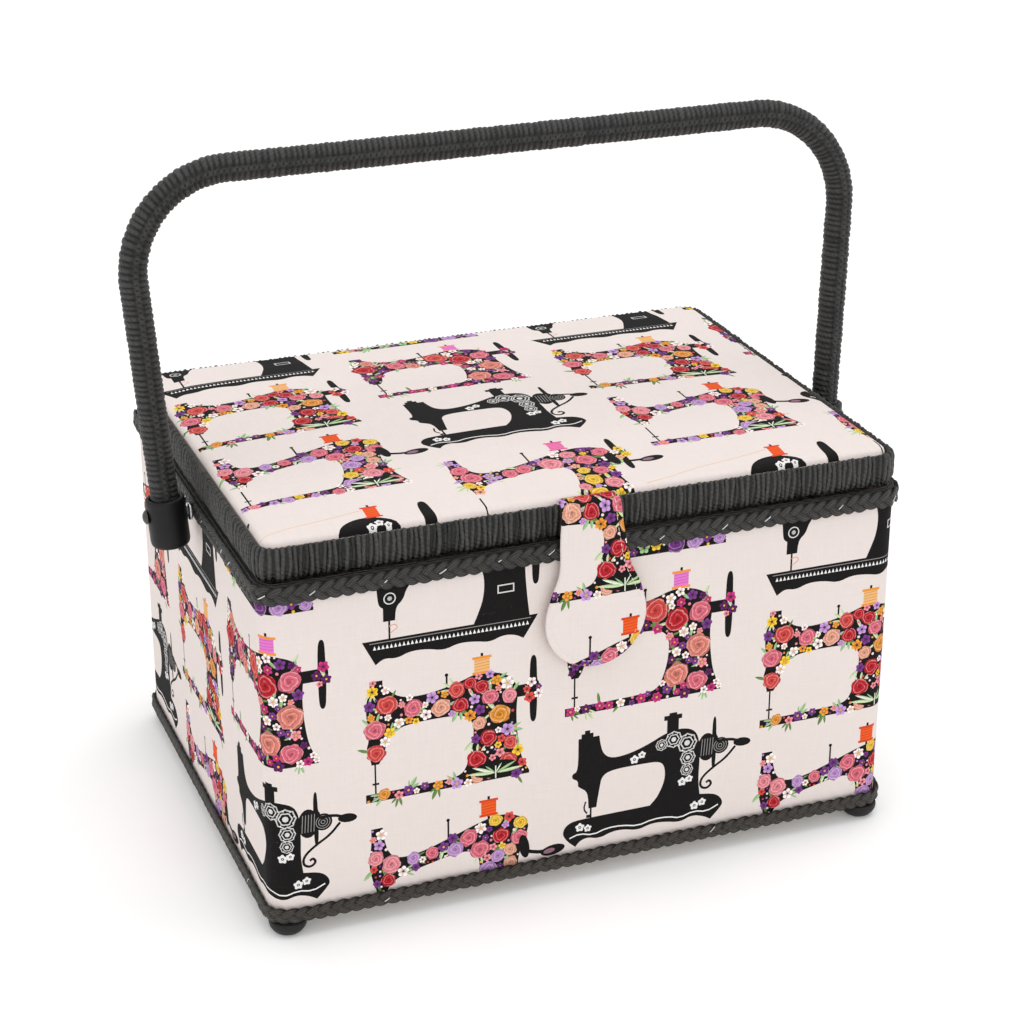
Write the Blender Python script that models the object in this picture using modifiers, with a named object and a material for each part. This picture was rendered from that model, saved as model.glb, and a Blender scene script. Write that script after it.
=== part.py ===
"""Sewing box with a padded hinged lid, carrying handle, front flap and two lift-out trays.

Metres, +Z up. The origin is on the floor under the middle of the box: +X is the box's right
side seen from the front, +Y is the rear, where the lid is hinged.
"""

import math

import bmesh
import bpy
from mathutils import Matrix, Vector

MM = 0.001
GAP = 0.3  # clearance left between touching pieces, mm

# ---- driving dimensions, mm --------------------------------------------------------------
BODY_HX, BODY_HY, BODY_R = 155.5, 116.0, 10.0  # outer fabric face of the body
COVER_T = 1.0
BOARD_T = 3.0
LINING_T = 1.0
FLOOR_Z = 7.6  # underside of the base board
BASE_T = 4.0
BODY_TOP = 175.4
TRIM_HX, TRIM_HY, TRIM_R = 158.0, 118.5, 12.5  # outer face of both braids
TRIM_LOW = (7.5, 16.0)
TRIM_TOP = (167.5, 176.5)

FOOT_X, FOOT_Y, FOOT_R = 147.0, 109.5, 10.0

RIM_HX, RIM_HY, RIM_R = 156.0, 115.5, 11.0  # cord-wrapped lid frame
RIM_T = 4.5
RIM_Z = (178.3, 193.8)
PAD_HX, PAD_HY = RIM_HX - RIM_T - GAP, RIM_HY - RIM_T - GAP
LID_CROWN_Z = 199.6
LINER_Z = (181.0, 184.1)
LID_BOARD_Z = (184.4, 187.6)

HINGE_Y, HINGE_Z = 121.3, 177.6  # lid hinge axis, along X
HINGE_X = 95.0
KNUCKLE_R, HINGE_PIN_R = 2.3, 1.2

FLAP_Y, FLAP_Z = -112.4, 195.4  # flap hinge axis, along X
FLAP_T = 2.4
FLAP_FRONT_Y = -120.4  # middle of the flap's hanging sheet
FLAP_X = -0.6
LOBE_Z, LOBE_R = 138.8, 24.8
CATCH_Z, CATCH_R = 135.0, 6.5

PIVOT_Y, PIVOT_Z = -10.8, 171.0  # handle pivot axis, along X
HANDLE_HX0, HANDLE_HX1 = 169.8, 179.8  # half widths at the pivot and at the top bar
HANDLE_RISE = 158.4
HANDLE_TILT = math.radians(4.2)
HANDLE_BEND = 46.0
WRAP_R, CORE_R = 6.6, 4.0
CAP_R = 9.2
RIVET_R = 2.4

TRAY_Z = (123.0, 159.0)
TRAY_HY = 107.5
TRAY_X = (1.2, 145.6)
TRAY_WALL = 1.8
LEDGE_Z = (116.7, 122.7)

# ---- materials ---------------------------------------------------------------------------
COLOURS = {
    "printed_fabric": ((0.83, 0.77, 0.73), 0.85, 0.0),
    "black_cord": ((0.035, 0.034, 0.032), 0.62, 0.0),
    "black_plastic": ((0.012, 0.012, 0.013), 0.45, 0.0),
    "board": ((0.33, 0.24, 0.16), 0.9, 0.0),
    "lining_fabric": ((0.78, 0.72, 0.68), 0.55, 0.0),
    "foam": ((0.80, 0.78, 0.70), 0.95, 0.0),
    "steel": ((0.62, 0.62, 0.63), 0.3, 1.0),
    "tray_plastic": ((0.80, 0.78, 0.76), 0.35, 0.0),
    "velvet": ((0.42, 0.06, 0.09), 0.9, 0.0),
    "ledge_wood": ((0.55, 0.38, 0.22), 0.7, 0.0),
}


def clear_scene():
    for obj in list(bpy.data.objects):
        bpy.data.objects.remove(obj, do_unlink=True)
    for coll in list(bpy.data.collections):
        bpy.data.collections.remove(coll)


clear_scene()
PARTS = bpy.data.collections.new("sewing_box")
CUTTERS = bpy.data.collections.new("cutters")
AXES = bpy.data.collections.new("axes")
for _coll in (PARTS, CUTTERS, AXES):
    bpy.context.scene.collection.children.link(_coll)
CUTTERS.hide_render = True

MATERIALS = {}
for _name, (_rgb, _rough, _metal) in COLOURS.items():
    _mat = bpy.data.materials.new(_name)
    _mat.use_nodes = True
    _bsdf = _mat.node_tree.nodes["Principled BSDF"]
    _bsdf.inputs["Base Color"].default_value = (*_rgb, 1.0)
    _bsdf.inputs["Roughness"].default_value = _rough
    _bsdf.inputs["Metallic"].default_value = _metal
    MATERIALS[_name] = _mat


def axis_empty(name, x, y, z):
    empty = bpy.data.objects.new(name, None)
    empty.empty_display_size = 0.02
    empty.location = (x * MM, y * MM, z * MM)
    AXES.objects.link(empty)
    return empty


LID_AXIS = axis_empty("lid_axis", 0, HINGE_Y, HINGE_Z)
FLAP_AXIS = axis_empty("flap_axis", 0, FLAP_Y, FLAP_Z)
HANDLE_AXIS = axis_empty("handle_axis", 0, PIVOT_Y, PIVOT_Z)
TRAY_MID = (TRAY_X[0] + TRAY_X[1]) / 2
TRAY_LEFT_AXIS = axis_empty("tray_left_axis", -TRAY_MID, 0, TRAY_Z[0])
TRAY_RIGHT_AXIS = axis_empty("tray_right_axis", TRAY_MID, 0, TRAY_Z[0])
bpy.context.view_layer.update()
FLAP_AXIS.parent = LID_AXIS
FLAP_AXIS.matrix_parent_inverse = LID_AXIS.matrix_world.inverted()


def add(name, mesh, material=None, parent=None, cutter=False, smooth=False):
    """Links a mesh object; a part gets a material and, if it moves, its joint's empty as its parent."""
    obj = bpy.data.objects.new(name, mesh)
    (CUTTERS if cutter else PARTS).objects.link(obj)
    if cutter:
        obj.hide_render = True
        obj.display_type = "WIRE"
    else:
        mesh.materials.append(MATERIALS[material])
    if smooth:
        mesh.shade_smooth()
    if parent is not None:
        obj.parent = parent
        obj.matrix_parent_inverse = Matrix.Translation(parent.matrix_world.translation).inverted()
    return obj


def cut(obj, *cutters, operation="DIFFERENCE"):
    for cutter in cutters:
        modifier = obj.modifiers.new(cutter.name, "BOOLEAN")
        modifier.operation = operation
        modifier.object = cutter
        modifier.solver = "EXACT"
    return obj


def finish_mesh(name, bm, scale=MM):
    bmesh.ops.recalc_face_normals(bm, faces=bm.faces)
    if scale != 1:
        bmesh.ops.scale(bm, vec=(scale, scale, scale), verts=bm.verts)
    mesh = bpy.data.meshes.new(name)
    bm.to_mesh(mesh)
    bm.free()
    return mesh


def rounded_box_mesh(name, x0, x1, y0, y1, z0, z1, r=0.0, seg=5, edge=0.0, edge_seg=1):
    """A box whose four vertical edges are rounded by r, and its top and bottom edges by edge."""
    bm = bmesh.new()
    bmesh.ops.create_cube(bm, size=1.0)
    bmesh.ops.scale(bm, vec=(x1 - x0, y1 - y0, z1 - z0), verts=bm.verts)
    bmesh.ops.translate(bm, vec=((x0 + x1) / 2, (y0 + y1) / 2, (z0 + z1) / 2), verts=bm.verts)
    if r > 0:
        upright = [e for e in bm.edges if abs(e.verts[0].co.z - e.verts[1].co.z) > 1e-6]
        bmesh.ops.bevel(bm, geom=upright, offset=r, segments=seg, profile=0.5, affect="EDGES")
    if edge > 0:
        flat = [
            e
            for e in bm.edges
            if abs(e.verts[0].co.z - e.verts[1].co.z) < 1e-6
            and len(e.link_faces) == 2
            and abs(e.link_faces[0].normal.z - e.link_faces[1].normal.z) > 0.5
        ]
        bmesh.ops.bevel(bm, geom=flat, offset=edge, segments=edge_seg, profile=0.5, affect="EDGES")
    return finish_mesh(name, bm)


def box(name, x0, x1, y0, y1, z0, z1, material=None, parent=None, cutter=False, **shape):
    mesh = rounded_box_mesh(name, x0, x1, y0, y1, z0, z1, **shape)
    return add(name, mesh, material, parent, cutter)


def frame_ring(name, hx, hy, r, wall, z0, z1, material, parent=None, edge=0.0, edge_seg=2, seg=6):
    """A rounded rectangular tube standing on Z, with its wall inside hx, hy."""
    outer = box(name, -hx, hx, -hy, hy, z0, z1, material, parent, r=r, seg=seg, edge=edge, edge_seg=edge_seg)
    inner = box(
        name + "_hollow", -hx + wall, hx - wall, -hy + wall, hy - wall, z0 - 20, z1 + 20,
        cutter=True, r=max(r - wall, 1.0), seg=seg,
    )
    return cut(outer, inner)


def turned(name, profile, steps, material=None, parent=None, cutter=False, at=(0, 0, 0), turn=None, closed=False):
    """A turned piece: profile holds (radius, height) pairs in mm, listed down its outer side."""
    bm = bmesh.new()
    verts = [bm.verts.new((r * MM, 0, z * MM)) for r, z in profile]
    for a, b in zip(verts, verts[1:]):
        bm.edges.new((a, b))
    if closed:
        bm.edges.new((verts[-1], verts[0]))
    mesh = bpy.data.meshes.new(name)
    bm.to_mesh(mesh)
    bm.free()
    obj = add(name, mesh, material, parent, cutter)
    screw = obj.modifiers.new("turn", "SCREW")
    screw.axis = "Z"
    screw.steps = screw.render_steps = steps
    screw.use_merge_vertices = True
    screw.merge_threshold = 0.00001
    place = Matrix.Translation(Vector(at) * MM)
    if turn is not None:
        place = place @ turn
    obj.matrix_basis = place
    return obj


TO_X = Matrix.Rotation(math.radians(90), 4, "Y")  # turns a piece's +Z to +X
TO_MINUS_X = Matrix.Rotation(math.radians(-90), 4, "Y")
TO_MINUS_Y = Matrix.Rotation(math.radians(90), 4, "X")  # turns a piece's +Z to -Y


def loop_rounded(hx, hy, r, z, seg=6):
    points = []
    for cx, cy, start in ((hx - r, hy - r, 0), (-hx + r, hy - r, 90), (-hx + r, -hy + r, 180), (hx - r, -hy + r, 270)):
        for k in range(seg + 1):
            a = math.radians(start + 90 * k / seg)
            points.append((cx + r * math.cos(a), cy + r * math.sin(a), z))
    return points


def loft(name, loops, material, parent=None, smooth=False):
    """A closed body through loops of equal length, capped at the first and the last."""
    bm = bmesh.new()
    rings = [[bm.verts.new(p) for p in loop] for loop in loops]
    n = len(rings[0])
    for a, b in zip(rings, rings[1:]):
        for k in range(n):
            bm.faces.new((a[k], a[(k + 1) % n], b[(k + 1) % n], b[k]))
    bm.faces.new(rings[0])
    bm.faces.new(rings[-1])
    return add(name, finish_mesh(name, bm), material, parent, smooth=smooth)


def prism(name, outline, axis, lo, hi, material=None, parent=None, cutter=False):
    """A flat outline pushed along axis: (x, z) pairs along Y, or (y, z) pairs along X."""
    bm = bmesh.new()
    if axis == "Y":
        points = [(u, lo, w) for u, w in outline]
        push = (0, hi - lo, 0)
    else:
        points = [(lo, u, w) for u, w in outline]
        push = (hi - lo, 0, 0)
    face = bm.faces.new([bm.verts.new(p) for p in points])
    out = bmesh.ops.extrude_face_region(bm, geom=[face])
    moved = [g for g in out["geom"] if isinstance(g, bmesh.types.BMVert)]
    bmesh.ops.translate(bm, vec=push, verts=moved)
    return add(name, finish_mesh(name, bm), material, parent, cutter)


# ---- body --------------------------------------------------------------------------------
board_hx, board_hy = BODY_HX - COVER_T - GAP, BODY_HY - COVER_T - GAP
board_r = BODY_R - COVER_T - GAP
base_top = FLOOR_Z + BASE_T
inner_hx, inner_hy = board_hx - BOARD_T, board_hy - BOARD_T
lining_hx, lining_hy = inner_hx - GAP, inner_hy - GAP
well_hx, well_hy = lining_hx - LINING_T, lining_hy - LINING_T
lining_r = board_r - BOARD_T - GAP

pivot_bore = turned(
    "pivot_bore", [(0, 200), (RIVET_R + 0.3, 200), (RIVET_R + 0.3, -200), (0, -200)], 20,
    cutter=True, at=(0, PIVOT_Y, PIVOT_Z), turn=TO_X,
)

screw_cutters = []
for _sx in (-1, 1):
    for _sy in (-1, 1):
        screw_cutters.append(
            turned(
                "screw_hole", [(0, 30), (3.9, 30), (3.9, base_top - 2.3), (2.0, base_top - 2.9), (2.0, -1), (0, -1)], 16,
                cutter=True, at=(_sx * FOOT_X, _sy * FOOT_Y, 0),
            )
        )

base_board = box("base_board", -board_hx, board_hx, -board_hy, board_hy, FLOOR_Z, base_top, "board", r=board_r, seg=5)
cut(base_board, *screw_cutters)

wall_board = frame_ring("wall_board", board_hx, board_hy, board_r, BOARD_T, base_top + GAP, BODY_TOP - 0.5, "board")
cut(wall_board, pivot_bore)

outer_cover = frame_ring("outer_cover", BODY_HX, BODY_HY, BODY_R, COVER_T, FLOOR_Z, BODY_TOP, "printed_fabric")
cut(outer_cover, pivot_bore)

lining_wall = frame_ring("lining_wall", lining_hx, lining_hy, lining_r, LINING_T, 16.2, BODY_TOP - 3.0, "lining_fabric")
cut(lining_wall, pivot_bore)

base_pad = box(
    "base_pad", -lining_hx, lining_hx, -lining_hy, lining_hy, base_top + GAP, 15.9, "lining_fabric",
    r=lining_r, seg=5, edge=1.0,
)

bottom_trim = frame_ring(
    "bottom_trim", TRIM_HX, TRIM_HY, TRIM_R, TRIM_HX - BODY_HX - GAP, *TRIM_LOW, "black_cord", edge=0.9,
)
top_trim = frame_ring(
    "top_trim", TRIM_HX, TRIM_HY, TRIM_R, TRIM_HX - BODY_HX - GAP, *TRIM_TOP, "black_cord", edge=0.9,
)
cut(top_trim, pivot_bore)

SIDES = (("left", -1), ("right", 1))
ENDS = (("front", -1), ("rear", 1))
for _end, _sy in ENDS:
    for _side, _sx in SIDES:
        foot = turned(
            f"foot_{_end}_{_side}",
            [(0, 7.2), (FOOT_R - 0.8, 7.2), (FOOT_R, 6.4), (FOOT_R, 4.6), (9.2, 2.8), (7.6, 1.2), (4.6, 0), (0, 0)],
            24, "black_plastic", at=(_sx * FOOT_X, _sy * FOOT_Y, 0),
        )
        pilot = turned(
            "foot_pilot", [(0, 12), (1.9, 12), (1.9, 2.2), (0, 2.2)], 16,
            cutter=True, at=(_sx * FOOT_X, _sy * FOOT_Y, 0),
        )
        cut(foot, pilot)
        turned(
            f"foot_screw_{_end}_{_side}",
            [(0, base_top - 0.2), (3.4, base_top - 0.2), (3.4, base_top - 1.9), (1.6, base_top - 2.9), (1.6, 3.4), (0, 2.6)],
            14, "steel", at=(_sx * FOOT_X, _sy * FOOT_Y, 0),
        )

for _end, _sy in ENDS:
    _y = sorted((_sy * (well_hy - GAP), _sy * 98.0))
    box(f"tray_ledge_{_end}", -well_hx + 5.5, well_hx - 5.5, _y[0], _y[1], *LEDGE_Z, "ledge_wood", edge=0.5)

catch_plate = turned(
    "catch_plate", [(0, 1.3), (CATCH_R - 0.4, 1.3), (CATCH_R, 0.9), (CATCH_R, 0), (0, 0)], 24,
    "steel", at=(0, -BODY_HY - GAP, CATCH_Z), turn=TO_MINUS_Y,
)

# ---- handle pivots, which stay with the body ----------------------------------------------
for _side, _sx in SIDES:
    face_out = TO_X if _sx > 0 else TO_MINUS_X
    cap_face = HANDLE_HX0 + CAP_R
    inner_end = well_hx - GAP - 1.5
    turned(
        f"pivot_rivet_{_side}",
        [
            (0, cap_face + 2.4), (1.6, cap_face + 2.2), (3.0, cap_face + 1.4), (3.4, cap_face + 0.5), (RIVET_R, cap_face + 0.5),
            (RIVET_R, inner_end - GAP), (3.9, inner_end - GAP), (3.4, inner_end - 1.5), (0, inner_end - 1.8),
        ],
        20, "steel", at=(0, PIVOT_Y, PIVOT_Z), turn=face_out,
    )
    turned(
        f"pivot_spacer_{_side}",
        [(4.2, HANDLE_HX0 - CAP_R - 0.5), (4.2, TRIM_HX + GAP), (RIVET_R + 0.3, TRIM_HX + GAP), (RIVET_R + 0.3, HANDLE_HX0 - CAP_R - 0.5)],
        20, "steel", at=(0, PIVOT_Y, PIVOT_Z), turn=face_out, closed=True,
    )
    turned(
        f"pivot_washer_{_side}",
        [(7.0, well_hx - GAP), (7.0, inner_end), (RIVET_R + 0.3, inner_end), (RIVET_R + 0.3, well_hx - GAP)],
        24, "steel", at=(0, PIVOT_Y, PIVOT_Z), turn=face_out, closed=True,
    )

# ---- rear hinges -------------------------------------------------------------------------
LEAF_HX = 15.0
for _side, _sx in SIDES:
    hx0 = _sx * HINGE_X
    pin_bore = turned(
        "hinge_bore", [(0, 40), (HINGE_PIN_R + 0.15, 40), (HINGE_PIN_R + 0.15, -40), (0, -40)], 16,
        cutter=True, at=(hx0, HINGE_Y, HINGE_Z), turn=TO_X,
    )

    def knuckle(x0, x1):
        return turned(
            "knuckle", [(0, x1), (KNUCKLE_R, x1), (KNUCKLE_R, x0), (0, x0)], 16,
            cutter=True, at=(hx0, HINGE_Y, HINGE_Z), turn=TO_X,
        )

    box_leaf = box(
        f"hinge_{_side}_box_leaf", hx0 - LEAF_HX, hx0 + LEAF_HX, TRIM_HY + GAP, TRIM_HY + GAP + 1.0, 160.0, HINGE_Z,
        "steel",
    )
    gap_mid = box("knuckle_gap", hx0 - 5.4, hx0 + 5.4, 115, 125, 174.6, 182, cutter=True)
    screw_heads = [
        turned(
            "leaf_screw", [(0, 1.3), (2.4, 0.7), (2.6, -0.5), (0, -0.5)], 12,
            cutter=True, at=(hx0 + dx, TRIM_HY + GAP + 1.0, 164.6), turn=Matrix.Rotation(math.radians(-90), 4, "X"),
        )
        for dx in (-10, 10)
    ]
    cut(box_leaf, gap_mid)
    cut(box_leaf, knuckle(-LEAF_HX, -5.4), knuckle(5.4, LEAF_HX), *screw_heads, operation="UNION")
    cut(box_leaf, pin_bore)

    plate_y = RIM_HY + GAP
    lid_leaf = box(
        f"hinge_{_side}_lid_leaf", hx0 - LEAF_HX, hx0 + LEAF_HX, plate_y, plate_y + 1.0, 180.6, 191.6, "steel", LID_AXIS,
    )
    web = box("hinge_web", hx0 - 5.0, hx0 + 5.0, plate_y + 0.1, HINGE_Y, 178.8, 181.2, cutter=True)
    lid_heads = [
        turned(
            "leaf_screw", [(0, 1.3), (2.4, 0.7), (2.6, -0.5), (0, -0.5)], 12,
            cutter=True, at=(hx0 + dx, plate_y + 1.0, 187.0), turn=Matrix.Rotation(math.radians(-90), 4, "X"),
        )
        for dx in (-10, 10)
    ]
    cut(lid_leaf, web, knuckle(-5.0, 5.0), *lid_heads, operation="UNION")
    cut(lid_leaf, pin_bore)

    turned(
        f"hinge_{_side}_pin",
        [(0, LEAF_HX + 1.2), (1.7, LEAF_HX + 0.9), (1.9, LEAF_HX + 0.3), (HINGE_PIN_R, LEAF_HX + 0.3),
         (HINGE_PIN_R, -LEAF_HX - 0.6), (0, -LEAF_HX - 0.9)],
        16, "steel", at=(hx0, HINGE_Y, HINGE_Z), turn=TO_X,
    )

# ---- lid ---------------------------------------------------------------------------------
frame_ring("lid_rim", RIM_HX, RIM_HY, RIM_R, RIM_T, *RIM_Z, "black_cord", LID_AXIS, edge=1.6)
pad_r = RIM_R - RIM_T - GAP
box("lid_board", -PAD_HX, PAD_HX, -PAD_HY, PAD_HY, *LID_BOARD_Z, "board", LID_AXIS, r=pad_r, seg=5)
box("lid_lining", -PAD_HX, PAD_HX, -PAD_HY, PAD_HY, *LINER_Z, "lining_fabric", LID_AXIS, r=pad_r, seg=5, edge=0.8)


def crown_loops(z_edge, z_crown, shrink=0.0, steps=6):
    """Loops of a crowned top, from the edge inwards."""
    loops = []
    for k in range(steps + 1):
        t = k / steps
        inset = (0.93 * t) ** 1.3 * PAD_HY
        height = z_edge + (z_crown - z_edge) * math.sin(t * math.pi / 2) ** 0.8
        hx, hy = PAD_HX - shrink - inset, PAD_HY - shrink - inset
        loops.append(loop_rounded(hx, hy, max(min(pad_r + inset * 0.35, hy - 0.5), 1.0), height, 5))
    return loops


foam_top = crown_loops(193.0, LID_CROWN_Z - 1.2, shrink=1.4)
loft(
    "lid_foam",
    [loop_rounded(PAD_HX - 1.4, PAD_HY - 1.4, pad_r, LID_BOARD_Z[1] + GAP, 5)] + foam_top,
    "foam", LID_AXIS, smooth=False,
)
inner_skin = crown_loops(193.0 + GAP, LID_CROWN_Z - 1.2 + GAP, shrink=1.0)
outer_skin = crown_loops(194.2, LID_CROWN_Z, shrink=0.0)
loft(
    "lid_cover",
    list(reversed(inner_skin))
    + [loop_rounded(PAD_HX - 1.0, PAD_HY - 1.0, pad_r, LID_BOARD_Z[1] + GAP, 5)]
    + [loop_rounded(PAD_HX, PAD_HY, pad_r, LID_BOARD_Z[1] + GAP, 5)]
    + outer_skin,
    "printed_fabric", LID_AXIS, smooth=False,
)

POCKET_X, POCKET_Y, POCKET_Z = 128.0, (12.0, 92.0), (174.8, LINER_Z[0] - GAP)
lid_pocket = box(
    "lid_pocket", -POCKET_X, POCKET_X, POCKET_Y[0], POCKET_Y[1], *POCKET_Z, "lining_fabric", LID_AXIS, edge=0.4,
)
pocket_hollow = box(
    "pocket_hollow", -POCKET_X + 1.6, POCKET_X - 1.6, POCKET_Y[0] - 10, POCKET_Y[1] - 1.6, POCKET_Z[0] + 1.2, POCKET_Z[1] + 5,
    cutter=True,
)
cut(lid_pocket, pocket_hollow)

CUSHION_Y = -46.0
cushion_loops = []
for _t, _s in ((0.0, 0.97), (0.25, 1.0), (0.55, 0.93), (0.8, 0.72), (0.95, 0.42), (1.0, 0.14)):
    _z = LINER_Z[0] - GAP - 9.6 * _t
    cushion_loops.append(
        [
            (46 * _s * math.cos(math.radians(a)), CUSHION_Y + 30 * _s * math.sin(math.radians(a)), _z)
            for a in range(0, 360, 12)
        ]
    )
loft("pincushion", cushion_loops, "velvet", LID_AXIS, smooth=True)

# ---- front flap --------------------------------------------------------------------------
bend_r = FLAP_Z - 190.8  # radius of the sheet's middle round the rim
half = FLAP_T / 2
bend_y = FLAP_FRONT_Y + bend_r


def sheet_side(offset):
    """The bent sheet's line, offset outwards from its middle, from the top end to the bottom end."""
    points = [(FLAP_Y, FLAP_Z + offset)]
    for k in range(9):
        a = math.radians(90 + 90 * k / 8)
        points.append((bend_y + (bend_r + offset) * math.cos(a), 190.8 + (bend_r + offset) * math.sin(a)))
    points.append((FLAP_FRONT_Y - offset, 112.0))
    return points


outer_side = sheet_side(half)
inner_side = sheet_side(-half)
end_round = [
    (FLAP_Y + half * math.cos(math.radians(a)), FLAP_Z + half * math.sin(math.radians(a))) for a in (-60, -30, 0, 30, 60)
]
strip_outline = outer_side + list(reversed(inner_side)) + end_round
flap = prism("front_flap", strip_outline, "X", -32.0, 32.0, "printed_fabric", FLAP_AXIS)

tongue = []
for k in range(37):
    a = math.radians(-222 + 264 * k / 36)
    tongue.append((FLAP_X + LOBE_R * math.cos(a), LOBE_Z + LOBE_R * math.sin(a)))
tongue = tongue + [
    (FLAP_X + 17.2, LOBE_Z + 19.6), (FLAP_X + 16.9, LOBE_Z + 24.0), (FLAP_X + 16.2, 176.0), (FLAP_X + 14.5, 192.0), (FLAP_X + 14.5, 200.0),
    (FLAP_X - 14.5, 200.0), (FLAP_X - 14.5, 192.0), (FLAP_X - 16.2, 176.0), (FLAP_X - 16.9, LOBE_Z + 24.0), (FLAP_X - 17.2, LOBE_Z + 19.6),
]
tongue_blank = prism("flap_outline", tongue, "Y", -130.0, -100.0, cutter=True)
cut(flap, tongue_blank, operation="INTERSECT")

turned(
    "flap_magnet", [(0, 1.0), (CATCH_R - 0.4, 1.0), (CATCH_R, 0.6), (CATCH_R, 0), (0, 0)], 24,
    "steel", FLAP_AXIS, at=(0, FLAP_FRONT_Y + half + GAP + 1.0 + 0.0, CATCH_Z), turn=TO_MINUS_Y,
)

# ---- handle ------------------------------------------------------------------------------
TILT = Matrix.Translation((0, PIVOT_Y * MM, PIVOT_Z * MM)) @ Matrix.Rotation(-HANDLE_TILT, 4, "X")
SPLAY = math.atan2(HANDLE_HX1 - HANDLE_HX0, HANDLE_RISE)


def leg_x(s):
    return HANDLE_HX0 + (HANDLE_HX1 - HANDLE_HX0) * s / HANDLE_RISE


def handle_path(start, segments=9):
    """The bar's line in the handle's own plane: up the left leg, across the top and down the right."""
    turn = math.radians(90) + SPLAY
    tangent = HANDLE_BEND * math.tan(turn / 2)
    corner = Vector((-HANDLE_HX1, 0, HANDLE_RISE))
    down = Vector((HANDLE_HX1 - HANDLE_HX0, 0, -HANDLE_RISE)).normalized()
    first = corner + down * tangent
    centre = first + Vector((-down.z, 0, down.x)) * HANDLE_BEND
    arm = first - centre
    left = [Vector((-leg_x(start), 0, start))]
    for k in range(segments + 1):
        left.append(centre + Matrix.Rotation(turn * k / segments, 3, "Y") @ arm)
    right = [Vector((-p.x, 0, p.z)) for p in reversed(left)]
    return [tuple(p * MM) for p in left + right]


def tube_mesh(name, radius, start, resolution):
    curve = bpy.data.curves.new(name + "_line", "CURVE")
    curve.dimensions = "3D"
    curve.bevel_depth = radius * MM
    curve.bevel_resolution = resolution
    curve.use_fill_caps = True
    points = handle_path(start)
    spline = curve.splines.new("POLY")
    spline.points.add(len(points) - 1)
    for point, co in zip(spline.points, points):
        point.co = (*co, 1.0)
    line = bpy.data.objects.new(name + "_line", curve)
    bpy.context.scene.collection.objects.link(line)
    bpy.context.view_layer.update()
    mesh = bpy.data.meshes.new_from_object(line.evaluated_get(bpy.context.evaluated_depsgraph_get()))
    bpy.data.objects.remove(line, do_unlink=True)
    bm = bmesh.new()
    bm.from_mesh(mesh)
    bmesh.ops.remove_doubles(bm, verts=bm.verts, dist=1e-6)
    bmesh.ops.recalc_face_normals(bm, faces=bm.faces)
    bm.to_mesh(mesh)
    bm.free()
    mesh.materials.clear()
    mesh.name = name
    return mesh


def place_on_handle(obj, extra=None):
    obj.parent = HANDLE_AXIS
    obj.matrix_parent_inverse = Matrix.Translation(HANDLE_AXIS.matrix_world.translation).inverted()
    obj.matrix_basis = TILT @ extra if extra is not None else TILT
    return obj


wrap_start, core_start = 3.4, -9.5
handle_wrap = place_on_handle(add("handle_wrap", tube_mesh("handle_wrap", WRAP_R, wrap_start, 3), "black_cord", smooth=True))
wrap_bore = add("handle_wrap_bore", tube_mesh("handle_wrap_bore", CORE_R + GAP, wrap_start - 6, 2), cutter=True)
wrap_bore.matrix_basis = TILT
cut(handle_wrap, wrap_bore)
handle_core = place_on_handle(add("handle_core", tube_mesh("handle_core", CORE_R, core_start, 2), "steel", smooth=True))
rivet_clear = turned(
    "rivet_clear", [(0, 220), (RIVET_R + 0.2, 220), (RIVET_R + 0.2, -220), (0, -220)], 20,
    cutter=True, at=(0, PIVOT_Y, PIVOT_Z), turn=TO_X,
)
cut(handle_core, rivet_clear)

for _side, _sx in SIDES:
    lean = Matrix.Translation((_sx * HANDLE_HX0 * MM, 0, 0)) @ Matrix.Rotation(_sx * SPLAY, 4, "Y")
    cap = turned(
        f"handle_cap_{_side}",
        [
            (CAP_R - 0.6, 8.6), (CAP_R, 8.0), (CAP_R, -13.4), (CAP_R - 0.9, -14.6), (CAP_R - 2.4, -15.2), (0, -15.2),
            (0, -10.6), (CORE_R + GAP, -10.6), (CORE_R + GAP, 2.9), (WRAP_R + GAP, 2.9), (WRAP_R + GAP, 8.6),
        ],
        28, "black_plastic", closed=True,
    )
    place_on_handle(cap, lean)
    cut(cap, rivet_clear)

# ---- trays -------------------------------------------------------------------------------


def make_tray(name, sx, parent, cells):
    """A moulded tray: cells are (x0, x1, y0, y1) pockets measured in the tray's own plan, mm."""
    mid = sx * TRAY_MID
    hx = (TRAY_X[1] - TRAY_X[0]) / 2
    z0, z1 = TRAY_Z

    def ring(inset, z, r):
        return [(mid + x, y, z) for x, y, z in loop_rounded(hx - inset, TRAY_HY - inset, r, z, 5)]

    tray = loft(
        name,
        [ring(3.4, z0, 5.0), ring(2.2, z0 + 2.2, 6.0), ring(2.0, z1 - 2.6, 6.0), ring(0.3, z1 - 2.3, 7.5), ring(0.0, z1 - 0.5, 8.0), ring(0.5, z1, 7.5)],
        "tray_plastic", parent,
    )
    inside_x, inside_y = hx - 2.2 - TRAY_WALL, TRAY_HY - 2.2 - TRAY_WALL
    hollows = [
        box("tray_mouth", mid - inside_x, mid + inside_x, -inside_y, inside_y, z1 - 5.0, z1 + 10, cutter=True, r=4.0, seg=4)
    ]
    for x0, x1, y0, y1 in cells:
        hollows.append(
            box("tray_cell", mid + x0, mid + x1, y0, y1, z0 + TRAY_WALL, z1 + 9, cutter=True, r=4.0, seg=4)
        )
    for _sy in (-1, 1):
        hollows.append(
            turned(
                "tray_notch", [(0, 12), (15, 12), (15, -12), (0, -12)], 32, cutter=True,
                at=(mid, _sy * TRAY_HY, z1 + 4.0), turn=TO_MINUS_Y,
            )
        )
    return cut(tray, *hollows)


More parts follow.
